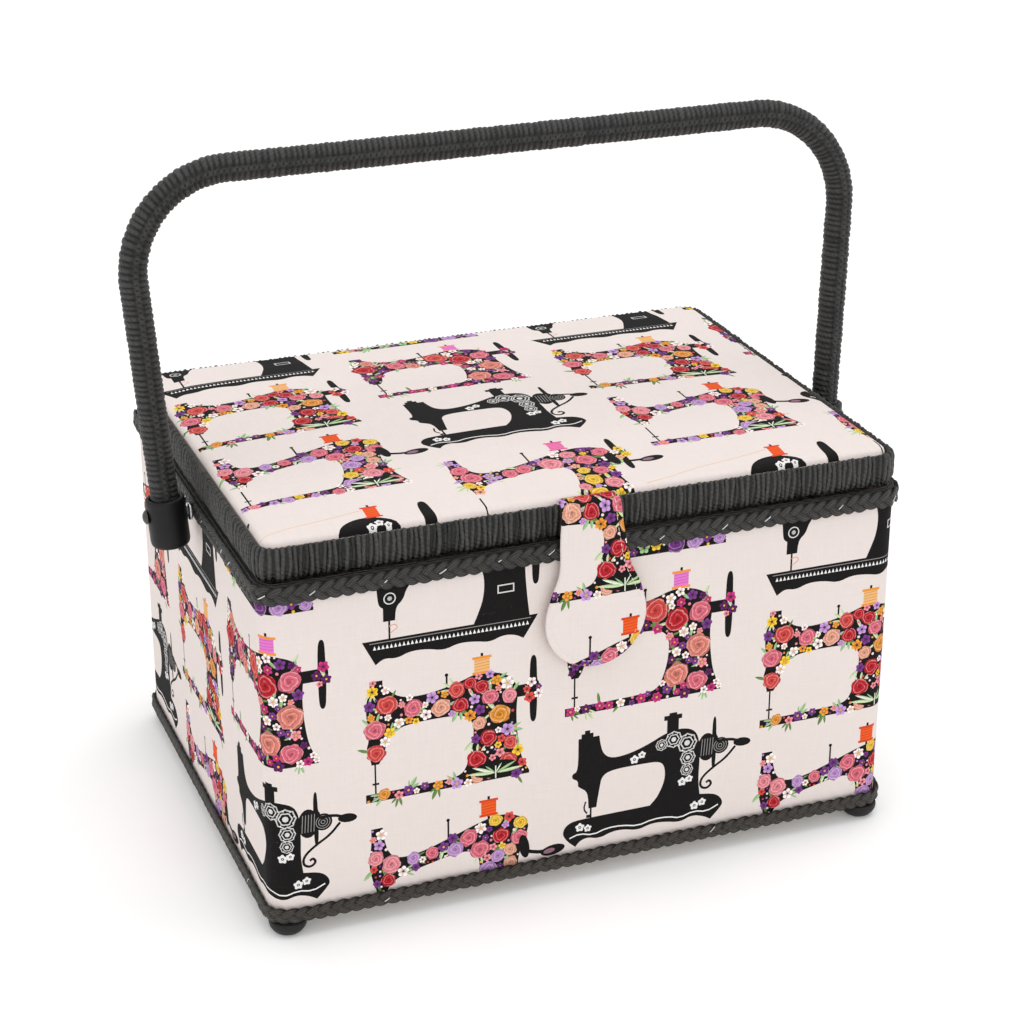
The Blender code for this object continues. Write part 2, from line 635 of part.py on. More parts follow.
half_w = (TRAY_X[1] - TRAY_X[0]) / 2 - 2.2 - TRAY_WALL
half_l = TRAY_HY - 2.2 - TRAY_WALL
DIV = 0.8  # half a divider
LEFT_CELLS = [
    (-half_w, -DIV - 14, -half_l, half_l),
    (DIV - 14, half_w, -half_l, -36 - DIV),
    (DIV - 14, half_w, -36 + DIV, 36 - DIV),
    (DIV - 14, half_w, 36 + DIV, half_l),
]
RIGHT_CELLS = [
    (-half_w, half_w, 34 + DIV, half_l),
    (-half_w, -DIV, -34 + DIV, 34 - DIV),
    (DIV, half_w, -34 + DIV, 34 - DIV),
    (-half_w, half_w, -half_l, -34 - DIV),
]
make_tray("tray_left", -1, TRAY_LEFT_AXIS, LEFT_CELLS)
make_tray("tray_right", 1, TRAY_RIGHT_AXIS, RIGHT_CELLS)
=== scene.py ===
"""Looks of the sewing box with trays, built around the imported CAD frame. Metres in the scene; print shapes are drawn in mm."""

import math

import bmesh
import bpy
import numpy as np
from mathutils import Matrix, Vector
from mathutils.bvhtree import BVHTree
from mathutils.geometry import delaunay_2d_cdt


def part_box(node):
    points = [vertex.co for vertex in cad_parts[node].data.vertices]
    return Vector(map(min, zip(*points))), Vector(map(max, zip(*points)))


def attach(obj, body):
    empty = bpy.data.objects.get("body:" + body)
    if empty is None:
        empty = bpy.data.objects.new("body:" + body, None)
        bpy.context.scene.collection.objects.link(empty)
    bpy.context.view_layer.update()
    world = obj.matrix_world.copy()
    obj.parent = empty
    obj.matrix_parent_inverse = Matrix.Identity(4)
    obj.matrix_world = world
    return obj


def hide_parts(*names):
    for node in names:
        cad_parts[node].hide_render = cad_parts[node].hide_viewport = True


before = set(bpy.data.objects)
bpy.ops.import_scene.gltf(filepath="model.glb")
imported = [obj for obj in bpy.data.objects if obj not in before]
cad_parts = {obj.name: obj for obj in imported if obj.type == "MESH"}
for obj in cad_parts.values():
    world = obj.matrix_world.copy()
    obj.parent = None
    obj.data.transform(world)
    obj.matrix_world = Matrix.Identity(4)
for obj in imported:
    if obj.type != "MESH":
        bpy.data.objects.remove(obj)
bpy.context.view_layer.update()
SCENE = bpy.context.scene
COLL = SCENE.collection
MM = 0.001


def mm_box(node):
    lo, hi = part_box(node)
    return np.array(lo) * 1000, np.array(hi) * 1000


# ---- camera ------------------------------------------------------------------------------
cam = bpy.data.cameras.new("camera")
cam.lens = 87.0480616764425
cam.sensor_width = 36.0
cam.clip_start, cam.clip_end = 0.05, 30.0
camera = bpy.data.objects.new("camera", cam)
COLL.objects.link(camera)
camera.matrix_world = Matrix((
    (0.933255, 0.144047, -0.329068, -0.397293),
    (-0.359215, 0.374705, -0.854728, -1.045124),
    (0.000182, 0.915886, 0.401439, 0.631116),
    (0.0, 0.0, 0.0, 1.0),
))
SCENE.camera = camera

# ---- the print, drawn as polygons in mm --------------------------------------------------
INK = (24, 22, 22)
PAPER = (236, 226, 221)
CREAM = (233, 226, 214)


def rounded(points, passes=2):
    """Corner cutting on a closed outline; a point with a third number stays a corner."""
    pts = [(p[0], p[1], len(p) > 2) for p in points]
    for _ in range(passes):
        out = []
        n = len(pts)
        for i, (x, y, sharp) in enumerate(pts):
            px, py, _s = pts[i - 1]
            qx, qy, _s = pts[(i + 1) % n]
            if sharp:
                out.append((x, y, True))
            else:
                out.append((x * 0.75 + px * 0.25, y * 0.75 + py * 0.25, False))
                out.append((x * 0.75 + qx * 0.25, y * 0.75 + qy * 0.25, False))
        pts = out
    return np.array([(x, y) for x, y, _s in pts])


def line_shape(points, width, passes=2):
    """A stroke of that width along an open line."""
    p = np.array(points, float)
    for _ in range(passes):
        mid = np.empty((2 * len(p), 2))
        mid[0], mid[-1] = p[0], p[-1]
        mid[1:-1:2] = p[:-1] * 0.75 + p[1:] * 0.25
        mid[2:-1:2] = p[:-1] * 0.25 + p[1:] * 0.75
        p = mid
    d = np.gradient(p, axis=0)
    d /= np.maximum(np.linalg.norm(d, axis=1), 1e-9)[:, None]
    side = np.stack([-d[:, 1], d[:, 0]], 1) * width / 2
    return np.concatenate([p + side, (p - side)[::-1]])


def disc(cx, cy, rx, ry=None, n=16, turn=0.0, lobes=0, depth=0.0):
    a = np.arange(n) * 2 * np.pi / n
    k = 1 + depth * np.cos(lobes * a) if lobes else np.ones(n)
    x, y = rx * k * np.cos(a), (ry or rx) * k * np.sin(a)
    c, s = np.cos(turn), np.sin(turn)
    return np.stack([cx + x * c - y * s, cy + x * s + y * c], 1)


def bar(x0, y0, x1, y1):
    return np.array([(x0, y0), (x1, y0), (x1, y1), (x0, y1)], float)


def inside(poly, pts):
    x, y = pts[:, 0][:, None], pts[:, 1][:, None]
    x0, y0 = poly[:, 0][None], poly[:, 1][None]
    x1, y1 = np.roll(poly[:, 0], -1)[None], np.roll(poly[:, 1], -1)[None]
    span = (y0 > y) != (y1 > y)
    cut_x = x0 + (y - y0) * (x1 - x0) / np.where(y1 == y0, 1e-12, y1 - y0)
    return (np.sum(span & (x < cut_x), axis=1) % 2) == 1


def shape(poly, colour, kind=0, at=(0.0, 0.0), size=1.0, turn=0.0, seed=0.0):
    return {"poly": np.asarray(poly, float), "colour": colour, "kind": kind, "at": at, "size": size, "turn": turn, "seed": seed}


def moved(shapes, dx, dy):
    out = []
    for s in shapes:
        t = dict(s)
        t["poly"] = s["poly"] + (dx, dy)
        t["at"] = (s["at"][0] + dx, s["at"][1] + dy)
        out.append(t)
    return out


def rose(x, y, r, colour, rng):
    n = 20
    a = np.arange(n) * 2 * np.pi / n
    ph = rng.uniform(0, 6.28)
    q = rng.uniform(0, 6.28, 3)
    k = r * (0.97 + 0.06 * np.cos(2 * a + q[0]) + 0.055 * np.cos(5 * a + q[1]) + 0.045 * np.cos(7 * a + q[2]))
    return shape(np.stack([x + k * np.cos(a), y + k * np.sin(a)], 1), colour, 1, (x, y), r, ph, rng.uniform(0, 1))


def daisy(x, y, r, colour, rng, petals=5):
    n = petals * 5
    a = np.arange(n) * 2 * np.pi / n
    ph = rng.uniform(0, 6.28)
    k = r * (0.60 + 0.42 * np.abs(np.cos(petals / 2 * a)) ** 0.75)
    c, s = np.cos(a + ph), np.sin(a + ph)
    return shape(np.stack([x + k * c, y + k * s], 1), colour, 2, (x, y), r, ph, rng.uniform(0, 1))


def leaf(x, y, length, width, turn, colour, rng):
    t = np.linspace(0, 1, 6)
    w = width * np.sin(np.pi * t) ** 0.75
    up = np.stack([(t - 0.5) * length, w / 2], 1)
    low = up[::-1][1:-1] * (1, -1)
    p = np.concatenate([up, low])
    c, s = np.cos(turn), np.sin(turn)
    return shape(p @ np.array([[c, s], [-s, c]]) + (x, y), colour, 3, (x, y), length / 2, turn, rng.uniform(0, 1))


CORAL, RED, DARKRED = (212, 76, 72), (190, 36, 48), (150, 30, 46)
PINK, ROSE, MAGENTA = (232, 140, 150), (222, 110, 128), (186, 52, 116)
PURPLE, LILAC, PLUM = (116, 58, 132), (190, 146, 204), (92, 36, 92)
YELLOW, AMBER, PEACH, DUSTY = (236, 192, 58), (226, 148, 56), (232, 166, 140), (222, 132, 118)
PALE, GREEN, MINT, PALE_GREEN = (244, 226, 222), (104, 138, 74), (158, 196, 140), (204, 222, 176)


def bloom(outline, palette, seed, sizes=(5.2, 4.3, 3.4, 2.6, 2.0, 1.5, 1.1), tries=(26, 60, 120, 260, 380, 420, 420), small=()):
    """Flowers scattered over an outline, the largest first, with leaves under them."""
    rng = np.random.default_rng(seed)
    lo, hi = outline.min(0), outline.max(0)
    edges_a, edges_b = outline, np.roll(outline, -1, 0)

    def depth(p):
        ab = edges_b - edges_a
        t = np.clip(((p - edges_a) * ab).sum(1) / np.maximum((ab * ab).sum(1), 1e-9), 0, 1)
        return np.min(np.linalg.norm(edges_a + ab * t[:, None] - p, axis=1))

    placed = []
    for r, count in zip(sizes, tries):
        pts = rng.uniform(lo, hi, (count * 3, 2))
        pts = pts[inside(outline, pts)][:count]
        for p in pts:
            rr = r * rng.uniform(0.86, 1.1)
            if depth(p) < rr * (0.62 if rr > 3 else 0.35):
                continue
            if all(np.hypot(*(p - q)) > 0.97 * (rr + s) for q, s in placed):
                placed.append((p, rr))
    leaves, flowers = [], []
    for k, (p, r) in enumerate(placed):
        if r > 1.7 and rng.random() < 0.62:
            turn = rng.uniform(0, 6.28)
            colour = (MINT, MINT, GREEN, PALE_GREEN)[rng.integers(4)]
            for spread in ((-0.5, 0.0, 0.5) if rng.random() < 0.4 else (0.0,)):
                length = rng.uniform(4.6, 7.6) * (1.0 if spread == 0 else 0.8)
                way = turn + spread
                c = p + (r + length * 0.26) * np.array([np.cos(way), np.sin(way)])
                leaves.append(leaf(c[0], c[1], length, length * rng.uniform(0.20, 0.30), way, colour, rng))
    order = sorted(range(len(placed)), key=lambda i: placed[i][1])
    for i in order:
        (x, y), r = placed[i]
        if r > 2.9:
            colour = palette[rng.integers(len(palette))]
            flowers.append(rose(x, y, r * 1.06, colour, rng))
        elif r > 1.35:
            pool = list(small or palette) + [PALE]
            colour = pool[rng.integers(len(pool))]
            flowers.append(daisy(x, y, r * 1.15, colour, rng, 5 if rng.random() < 0.75 else 6))
        else:
            pool = list(small or palette) + [PALE, PALE]
            flowers.append(shape(disc(x, y, r * 0.62, n=6, turn=rng.uniform(0, 6.28)), pool[rng.integers(len(pool))]))
    return leaves + flowers


def spool(cx, y0, thread, ends, w=9.2, h=9.0):
    dark = tuple(int(c * 0.8) for c in thread)
    out = [
        shape(bar(cx - 0.6, y0 - 2.0, cx + 0.6, y0 + h + 1.6), INK),
        shape(bar(cx - w / 2 + 0.9, y0 + 0.6, cx + w / 2 - 0.9, y0 + h - 0.6), thread),
        shape(bar(cx - w / 2, y0, cx + w / 2, y0 + 1.3), ends),
        shape(bar(cx - w / 2, y0 + h - 1.3, cx + w / 2, y0 + h), ends),
    ]
    for k in range(4):
        y = y0 + 2.2 + k * (h - 4.0) / 3.4
        out.append(shape(np.array([(cx - w / 2 + 0.9, y), (cx + w / 2 - 0.9, y + 0.5), (cx + w / 2 - 0.9, y + 0.8), (cx - w / 2 + 0.9, y + 0.3)]), dark))
    return out


ARCHED = rounded([
    (0, 0, 1), (79, 0, 1), (79, 1.5, 1), (75, 9), (73, 22), (72.5, 34), (73.5, 44), (71, 51), (64, 55), (54, 56.5), (44, 53), (30, 50), (18, 50.5),
    (12, 55), (9, 58, 1), (9, 61, 1), (3, 61, 1), (3, 56, 1), (0.8, 50), (1.4, 40), (2.2, 32), (0.6, 27), (2.6, 21.5), (3, 19, 1), (6.5, 19, 1),
    (9, 23), (10.5, 30), (15, 35.5), (25, 37), (40, 37), (48, 36), (52, 31), (51.5, 20), (49, 11), (46, 5.6), (38, 4.6), (20, 4.2), (0, 4.2, 1),
])
SLOPED = rounded([
    (0, 0, 1), (78, 0, 1), (78, 2, 1), (75, 10), (73, 22), (74, 34), (78, 43), (79, 49), (73, 54), (64, 56), (54, 53.5), (40, 48.5), (26, 44), (15, 43),
    (10, 47), (8, 55), (7.5, 61, 1), (2, 61, 1), (2, 53), (0.4, 43), (2, 34), (4, 28), (4.5, 24, 1), (8.5, 24, 1), (9.5, 29), (15, 33.5), (28, 36.5),
    (42, 39.5), (50, 39.5), (54.5, 35), (54, 24), (50, 12), (46, 6), (38, 4.6), (16, 4.2), (0, 4.2, 1),
])
PLINTH = rounded([
    (-1, 9), (2, 14), (10, 15), (44, 15, 1), (48, 19), (51.5, 27), (51.5, 34), (49, 38), (40, 38.5), (24, 38.5), (19, 36), (18, 30), (17, 24), (16.5, 20, 1),
    (12.5, 20, 1), (12, 29), (8, 32), (7, 33, 1), (7, 36), (4, 37.5), (4, 40), (7, 41), (7, 58, 1), (17.5, 58, 1), (18, 54), (19.5, 48), (24, 44.5),
    (34, 45.5), (44, 49), (50, 52), (58, 54), (66, 52), (69, 46), (69.5, 36), (69, 24), (70, 16, 1), (79, 14.5), (83, 9), (80, 5), (76, 1, 1), (72, 3.5),
    (66, 5), (60, 2.5), (52, 4.5), (45, 5), (38, 2.8), (31, 4.8), (25, 5), (18, 2.5), (12, 4.5), (8, 3), (6, 0.5, 1), (2, 4),
])
TABLE = rounded([
    (0, 12, 1), (83, 12, 1), (78, 4), (76, 1, 1), (72, 3.4), (66, 4.2), (60, 1.8), (53, 3.4), (45, 4), (38, 1.6), (30, 3.8), (22, 4), (16, 1.6), (10, 2.8), (6, 0, 1),
])
UPRIGHT = rounded([
    (52, 11.5, 1), (79, 11.5, 1), (77.5, 24), (76.5, 40), (77, 52), (73, 59), (66, 62), (56, 61), (44, 57), (30, 54), (20, 55), (14, 60), (12, 64, 1),
    (5, 64, 1), (5, 58), (6.5, 50), (7, 40), (7.4, 34), (8, 28.5), (10, 27, 1), (10, 20.5, 1), (15.5, 20.5, 1), (16, 27), (19.5, 30), (21, 35), (26, 41), (36, 44.5),
    (48, 44.5), (55, 41), (57.5, 34), (57, 24), (54, 16),
])


def wheel(x, y0, y1, w=3.5):
    m = (y0 + y1) / 2
    return rounded([(x + 0.5, y0), (x + w - 0.3, y0), (x + w + 0.2, m - 9), (x + w + 0.2, m - 4), (x + w + 1.3, m - 3), (x + w + 1.3, m + 3), (x + w + 0.2, m + 4), (x + w + 0.1, m + 9), (x + w - 0.2, y1), (x + 0.6, y1), (x, m + 9), (x, m - 9)], 2)


def ring(cx, cy, r, w, colour, back, n=16, lobes=0, depth=0.0):
    return [shape(disc(cx, cy, r, n=n, lobes=lobes, depth=depth), colour), shape(disc(cx, cy, r - w, n=n, lobes=lobes, depth=depth), back)]


def lace_flower(cx, cy, r, turn=0.3):
    return [shape(disc(cx, cy, r, n=25, lobes=5, depth=0.16, turn=turn), (236, 234, 232)), shape(disc(cx, cy, r * 0.36, n=8), INK), shape(disc(cx, cy, r * 0.17, n=6), (236, 234, 232))]


def lace(cx, cy, r):
    out = ring(cx, cy, r, r * 0.14, (205, 204, 202), INK, 24, 8, 0.07)
    out += ring(cx, cy, r * 0.66, r * 0.13, (214, 212, 210), INK, 20, 6, 0.08)
    out.append(shape(disc(cx, cy, r * 0.30, n=8), (220, 218, 216)))
    for k in range(8):
        a = k * math.pi / 4 + 0.2
        out.append(shape(disc(cx + r * 0.84 * math.cos(a), cy + r * 0.84 * math.sin(a), r * 0.09, n=5), (226, 224, 222)))
    return out


def fan(cx, cy, rng):
    """A spray of long pale leaves on a dark patch, with its stalk."""
    out = [shape(disc(cx, cy + 1.4, 11.5, 4.4, n=22), INK)]
    for k, (way, reach) in enumerate(((6, 13.0), (27, 10.5), (158, 12.0), (176, 13.5), (137, 6.5), (58, 5.5))):
        a = math.radians(way + rng.uniform(-3, 3))
        out.append(leaf(cx + 0.54 * reach * math.cos(a), cy - 0.8 + 0.54 * reach * math.sin(a), reach, reach * 0.13, a, (PALE_GREEN, MINT, (222, 232, 206))[k % 3], rng))
    out.append(shape(bar(cx - 0.3, cy - 3.6, cx + 0.3, cy + 3.0), (226, 234, 214)))
    return out


def floral(outline, palette, seed, spool_at=None, thread=None, ends=None, small=(), wheel_x=None, crank=None, pin=True, spray=None, **flowers):
    out = [shape(outline, INK), shape(bar(4.3, 4.0, 5.1, 20.5), INK), shape(bar(3.2, 8.6, 6.4, 9.6), INK)]
    if pin:
        out += [shape(bar(38.7, 48, 39.6, 57.6), INK), shape(disc(39.1, 58, 0.9, n=8), INK)]
    extra = []
    if wheel_x:
        w = wheel(wheel_x, 26.5, 60.5)
        out += [shape(w, INK), shape(bar(70, 40.5, wheel_x + 1, 46.5), INK)]
        extra = bloom(disc(wheel_x + 2.0, 43.5, 4.0, 6.6), list(small or palette), seed + 50, sizes=(2.3, 1.6), tries=(30, 60))
    if crank:
        cx, cy = crank
        out += [shape(line_shape([(74, cy + 4), (82, cy + 0.5), (cx - 2, cy)], 1.9, 1), INK), shape(disc(cx, cy, 6.2, 2.7, n=18, turn=0.12), INK)]
        extra += [shape(disc(76.6, cy + 5.0, 2.6, 6.4, n=20, turn=0.15), INK), shape(disc(cx - 1.8, cy - 0.2, 3.0, 1.3, n=10, turn=0.12), (150, 110, 128))]
    if spool_at:
        out += spool(spool_at[0], spool_at[1], thread, ends)
    top = fan(*spray, np.random.default_rng(seed + 9)) if spray else []
    return out + bloom(outline, palette, seed, small=small, **flowers) + top + extra


def black_crank():
    out = [shape(PLINTH, INK), shape(bar(8.5, 57.5, 14.5, 60.2), INK), shape(bar(10.2, 60, 12.8, 61.8), INK)]
    out += [shape(bar(52, 52, 58, 59.4), INK), shape(bar(50.4, 59.2, 59.6, 61.6), INK), shape(bar(53, 61.5, 57, 62.8), INK)]
    out += [shape(bar(13.2, 14.8, 14.1, 21), INK), shape(bar(11.4, 15, 13.2, 16.6), INK), shape(line_shape([(11, 24), (10, 20), (11.8, 17.4)], 0.8, 1), INK)]
    out += [shape(disc(73, 41, 4.8, 7.4, n=20), INK), shape(wheel(75.6, 28.5, 56.5, 2.0), INK), shape(disc(80, 40.5, 4.4, n=18), INK)]
    for r in (3.5, 2.3, 1.1):
        out += ring(80, 40.5, r, 0.35, (150, 148, 146), INK, 16)
    for k in range(5):
        out.append(shape(line_shape([(70 + k * 1.4, 36.5), (70.6 + k * 1.4, 45.5)], 0.35, 0), (150, 148, 146)))
    out += [shape(line_shape([(78, 43), (85, 43), (90, 41)], 1.5, 1), INK), shape(disc(91.5, 40.2, 4.6, 2.3, n=14, turn=-0.1), INK)]
    out.append(shape(line_shape([(88, 38.6), (83, 33), (76, 29), (70.5, 24.5), (70, 20), (73.4, 18.2), (76.2, 20.4), (74.8, 22.8), (73.2, 21.6)], 1.25), INK))
    for cx, cy, r in ((62.6, 45.2, 5.0), (55.6, 48.4, 4.3), (63.2, 37.2, 3.9), (49.4, 46.6, 3.0), (62.8, 30.8, 3.2)):
        out += lace(cx, cy, r)
    for cx, cy, r in ((35.6, 41.6, 2.1), (39.4, 43.4, 1.8), (60.6, 24.6, 2.1), (64.2, 25.6, 1.8), (8.2, 10.6, 2.1), (12.2, 9.4, 1.8), (67.4, 10.2, 2.1), (71.4, 11.4, 1.9)):
        out += lace_flower(cx, cy, r)
    out.append(shape(line_shape([(3, 5.6), (8, 7.2), (15, 5.2), (22, 7.4), (30, 7.2), (38, 5.2), (46, 7.2), (54, 6.8), (60, 4.9), (67, 7.2), (74, 5.6), (80, 8.2)], 0.7, 1), (240, 238, 236)))
    return out


def black_table(spool_col=None):
    out = [shape(TABLE, INK), shape(UPRIGHT, INK), shape(bar(12.3, 11.5, 13.2, 21), INK), shape(wheel(80, 27, 60), INK), shape(bar(75, 42, 81, 47), INK)]
    out += ring(13.2, 31.4, 2.9, 0.55, (225, 223, 221), INK) + [shape(disc(13.2, 31.4, 1.1, n=8), (190, 188, 186))]
    out += [shape(rounded([(63.6, 25, 1), (71.6, 25, 1), (71.6, 29.2, 1), (63.6, 29.2, 1)], 0), (220, 218, 216)), shape(bar(64.2, 25.6, 71.0, 28.6), INK)]
    for cx, cy, r in ((66.5, 50.5, 2.3), (62.0, 52.0, 1.8), (30, 49.5, 2.0), (34.4, 50.4, 1.7)):
        out += lace_flower(cx, cy, r)
    x = 5.0
    while x < 77.5:
        out.append(shape(np.array([(x, 7.4), (x + 1.5, 7.4), (x + 0.75, 9.4)]), (240, 238, 236)))
        x += 1.95
    out.append(shape(bar(3.4, 10.5, 79.6, 10.85), (150, 148, 146)))
    out += [shape(line_shape([(12.6, 18), (15.4, 18.8), (16.8, 16.8), (14.6, 15.6), (13.0, 14.4)], 0.4, 1), (222, 150, 118))]
    if spool_col:
        out += spool(60, 63.5, spool_col, spool_col, 8.0, 9.5)
        out.append(shape(line_shape([(56, 70), (38, 67.4), (18, 70.6), (6, 71.6), (3, 66)], 0.4), (238, 172, 130)))
    return out


def black_hump():
    head = rounded([(5, 30, 1), (17, 30, 1), (17, 40), (20, 43), (28, 43, 1), (19, 47), (13, 50, 1), (4, 50, 1), (4, 44)])
    out = [shape(TABLE, INK), shape(bar(12.3, 11.5, 13.2, 31), INK), shape(head, INK), shape(bar(16, 40, 62, 51), INK), shape(disc(55.2, 47.6, 15.8, n=40), INK)]
    out += [shape(bar(53, 11, 76, 48), INK), shape(rounded([(81.4, 28, 1), (85.6, 28, 1), (86.4, 50), (86.2, 64), (85.2, 70), (81.8, 70), (80.8, 64), (80.6, 50)]), INK), shape(bar(74, 42, 82, 47), INK)]
    for cx, cy, r in ((56.6, 55.4, 2.2), (60.4, 57.6, 1.9), (64.0, 55.6, 1.6)):
        out += lace_flower(cx, cy, r)
    out += ring(9.6, 45.0, 2.2, 0.5, (225, 223, 221), INK)
    out += spool(60, 62.6, (240, 92, 40), (222, 70, 44), 8.0, 10.0)
    out.append(shape(line_shape([(56, 70), (38, 66.4), (18, 63.6), (2, 58.4), (-10, 56.6)], 0.36), (232, 178, 140)))
    return out


def motifs():
    reds = [CORAL, CORAL, RED, PINK, ROSE, AMBER]
    return {
        "table": black_table(),
        "bouquet": floral(ARCHED, [CORAL, ROSE, CORAL, PEACH, RED, PINK, AMBER], 11, (56, 55.5), (242, 184, 120), (236, 150, 60), [YELLOW, PINK, CORAL, LILAC, AMBER, PURPLE, PALE], wheel_x=79, spray=(62.5, 4.0), sizes=(4.6, 3.7, 3.0, 2.4, 1.8, 1.4, 1.0)),
        "sloped": floral(SLOPED, [ROSE, PEACH, LILAC, RED, PINK, YELLOW], 23, (59, 56), (240, 92, 40), (214, 74, 34), [YELLOW, PINK, LILAC, CORAL, PURPLE, PALE], crank=(91, 31), spray=(63.0, 4.6), sizes=(4.4, 3.6, 2.8, 2.3, 1.8, 1.4, 1.0)),
        "spooled": black_hump(),
        "violet": floral(ARCHED, [RED, CORAL, DUSTY, ROSE, DUSTY], 37, (57, 56), (232, 122, 206), (240, 150, 70), [PURPLE, MAGENTA, PLUM, MAGENTA, PINK, PALE], wheel_x=80, sizes=(5.6, 4.2, 2.3, 1.9, 1.6, 1.3, 1.0), tries=(16, 30, 260, 300, 420, 420, 420)),
        "crank": black_crank(),
        "meadow": floral(SLOPED, [PINK, LILAC, ROSE, YELLOW, ROSE], 53, (57, 56), (238, 120, 176), (226, 96, 150), [YELLOW, LILAC, PEACH, PURPLE], wheel_x=80, crank=(94, 34)),
        "posy": floral(ARCHED, [ROSE, LILAC, CORAL, PURPLE], 71, (56, 55.5), (200, 160, 220), (170, 120, 190), [YELLOW, MINT, PINK, PURPLE], wheel_x=79),
    }


# ---- helpers -----------------------------------------------------------------------------
def srgb(c):
    """0-255 sRGB to linear."""
    c = np.asarray(c, float) / 255.0
    return np.where(c <= 0.04045, c / 12.92, ((c + 0.055) / 1.055) ** 2.4)


def rgba(c):
    return (*[float(v) for v in srgb(c)], 1.0)


def mesh_object(name, verts, faces, material=None, smooth=True, scale=MM):
    mesh = bpy.data.meshes.new(name)
    v = np.asarray(verts, float) * scale
    mesh.from_pydata([tuple(p) for p in v], [], [tuple(int(i) for i in f) for f in faces])
    mesh.validate()
    mesh.update()
    if smooth:
        mesh.shade_smooth()
    obj = bpy.data.objects.new(name, mesh)
    COLL.objects.link(obj)
    for m in (material if isinstance(material, (list, tuple)) else [material]):
        if m is not None:
            mesh.materials.append(m)
    return obj


def grid_mesh(name, points, material, wrap_u=False, wrap_v=False, uv=None, smooth=True, flip=False, groove=None):
    """points[i, j] are (x, y, z) in mm; uv[i, j] are the cloth's own coordinates in mm, one row more where the grid wraps."""
    nu, nv = points.shape[:2]
    iu = np.arange(nu if wrap_u else nu - 1)
    iv = np.arange(nv if wrap_v else nv - 1)
    a, b = np.meshgrid(iu, iv, indexing="ij")
    a, b = a.ravel(), b.ravel()
    a1, b1 = (a + 1) % nu, (b + 1) % nv
    quads = np.stack([a * nv + b, a1 * nv + b, a1 * nv + b1, a * nv + b1], 1)
    if flip:
        quads = quads[:, ::-1]
    mesh = bpy.data.meshes.new(name)
    mesh.vertices.add(nu * nv)
    mesh.vertices.foreach_set("co", (points.reshape(-1, 3) * MM).astype(np.float32).ravel())
    mesh.loops.add(len(quads) * 4)
    mesh.loops.foreach_set("vertex_index", quads.ravel().astype(np.int32))
    mesh.polygons.add(len(quads))
    mesh.polygons.foreach_set("loop_start", np.arange(0, len(quads) * 4, 4, dtype=np.int32))
    mesh.polygons.foreach_set("use_smooth", np.full(len(quads), smooth))
    mesh.update(calc_edges=True)
    if uv is not None:
        layer = mesh.uv_layers.new(name="cloth")
        ua, ub = a + 1, b + 1
        corner = np.stack([uv[a, b], uv[ua, b], uv[ua, ub], uv[a, ub]], 1)
        if flip:
            corner = corner[:, ::-1]
        layer.data.foreach_set("uv", corner.astype(np.float32).ravel())
    # groove: a per-point factor that the cord materials use to paint shade into the valleys between strands
    if groove is not None:
        mesh.attributes.new("groove", "FLOAT", "POINT").data.foreach_set("value", np.asarray(groove, np.float32).ravel())
    if material is not None:
        mesh.materials.append(material)
    obj = bpy.data.objects.new(name, mesh)
    COLL.objects.link(obj)
    return obj


def join(name, objs):
    """One object from several, in code."""
    bm = bmesh.new()
    mats = []
    for o in objs:
        before = len(bm.faces)
        me = o.data.copy()
        me.transform(o.matrix_world)
        bm.from_mesh(me)
        bm.faces.ensure_lookup_table()
        remap = []
        for m in o.data.materials:
            if m not in mats:
                mats.append(m)
            remap.append(mats.index(m))
        for f in bm.faces[before:]:
            f.material_index = remap[min(f.material_index, len(remap) - 1)] if remap else 0
        bpy.data.meshes.remove(me)
    mesh = bpy.data.meshes.new(name)
    bm.to_mesh(mesh)
    bm.free()
    for m in mats:
        mesh.materials.append(m)
    for o in objs:
        bpy.data.objects.remove(o)
    obj = bpy.data.objects.new(name, mesh)
    COLL.objects.link(obj)
    return obj


def lathe(name, profile, steps, material, place=None, rounds=2):
    """A turned piece: (radius, height) in mm down its outer side, with its corners cut round; a third number keeps a corner."""
    pts = [(p[0], p[1], len(p) > 2) for p in profile]
    for _ in range(rounds):
        out = [pts[0]]
        for i in range(1, len(pts) - 1):
            x, y, sharp = pts[i]
            px, py, _s = pts[i - 1]
            qx, qy, _s = pts[i + 1]
            if sharp:
                out.append(pts[i])
                continue
            la, lb = math.hypot(px - x, py - y), math.hypot(qx - x, qy - y)
            ka, kb = min(0.25, 0.9 / max(la, 1e-6)), min(0.25, 0.9 / max(lb, 1e-6))
            out += [(x + (px - x) * ka, y + (py - y) * ka, False), (x + (qx - x) * kb, y + (qy - y) * kb, False)]
        out.append(pts[-1])
        pts = out
    prof = np.array([(p[0], p[1]) for p in pts])
    a = np.arange(steps) * 2 * np.pi / steps
    ring = np.stack([np.cos(a), np.sin(a)], 1)
    verts, faces, rows = [], [], []
    for r, z in prof:
        if r < 1e-6:
            rows.append([len(verts)])
            verts.append((0, 0, z))
        else:
            rows.append(list(range(len(verts), len(verts) + steps)))
            verts += [(r * c, r * s, z) for c, s in ring]
    for lo, hi in zip(rows, rows[1:]):
        for k in range(steps):
            k1 = (k + 1) % steps
            if len(lo) == 1 and len(hi) == 1:
                continue
            if len(lo) == 1:
                faces.append((lo[0], hi[k], hi[k1]))
            elif len(hi) == 1:
                faces.append((lo[k], hi[0], lo[k1]))
            else:
                faces.append((lo[k], hi[k], hi[k1], lo[k1]))
    obj = mesh_object(name, verts, faces, material)
    bm = bmesh.new()
    bm.from_mesh(obj.data)
    bmesh.ops.recalc_face_normals(bm, faces=bm.faces)
    bm.to_mesh(obj.data)
    bm.free()
    obj.data.shade_smooth()
    if place is not None:
        obj.data.transform(place)
    return obj


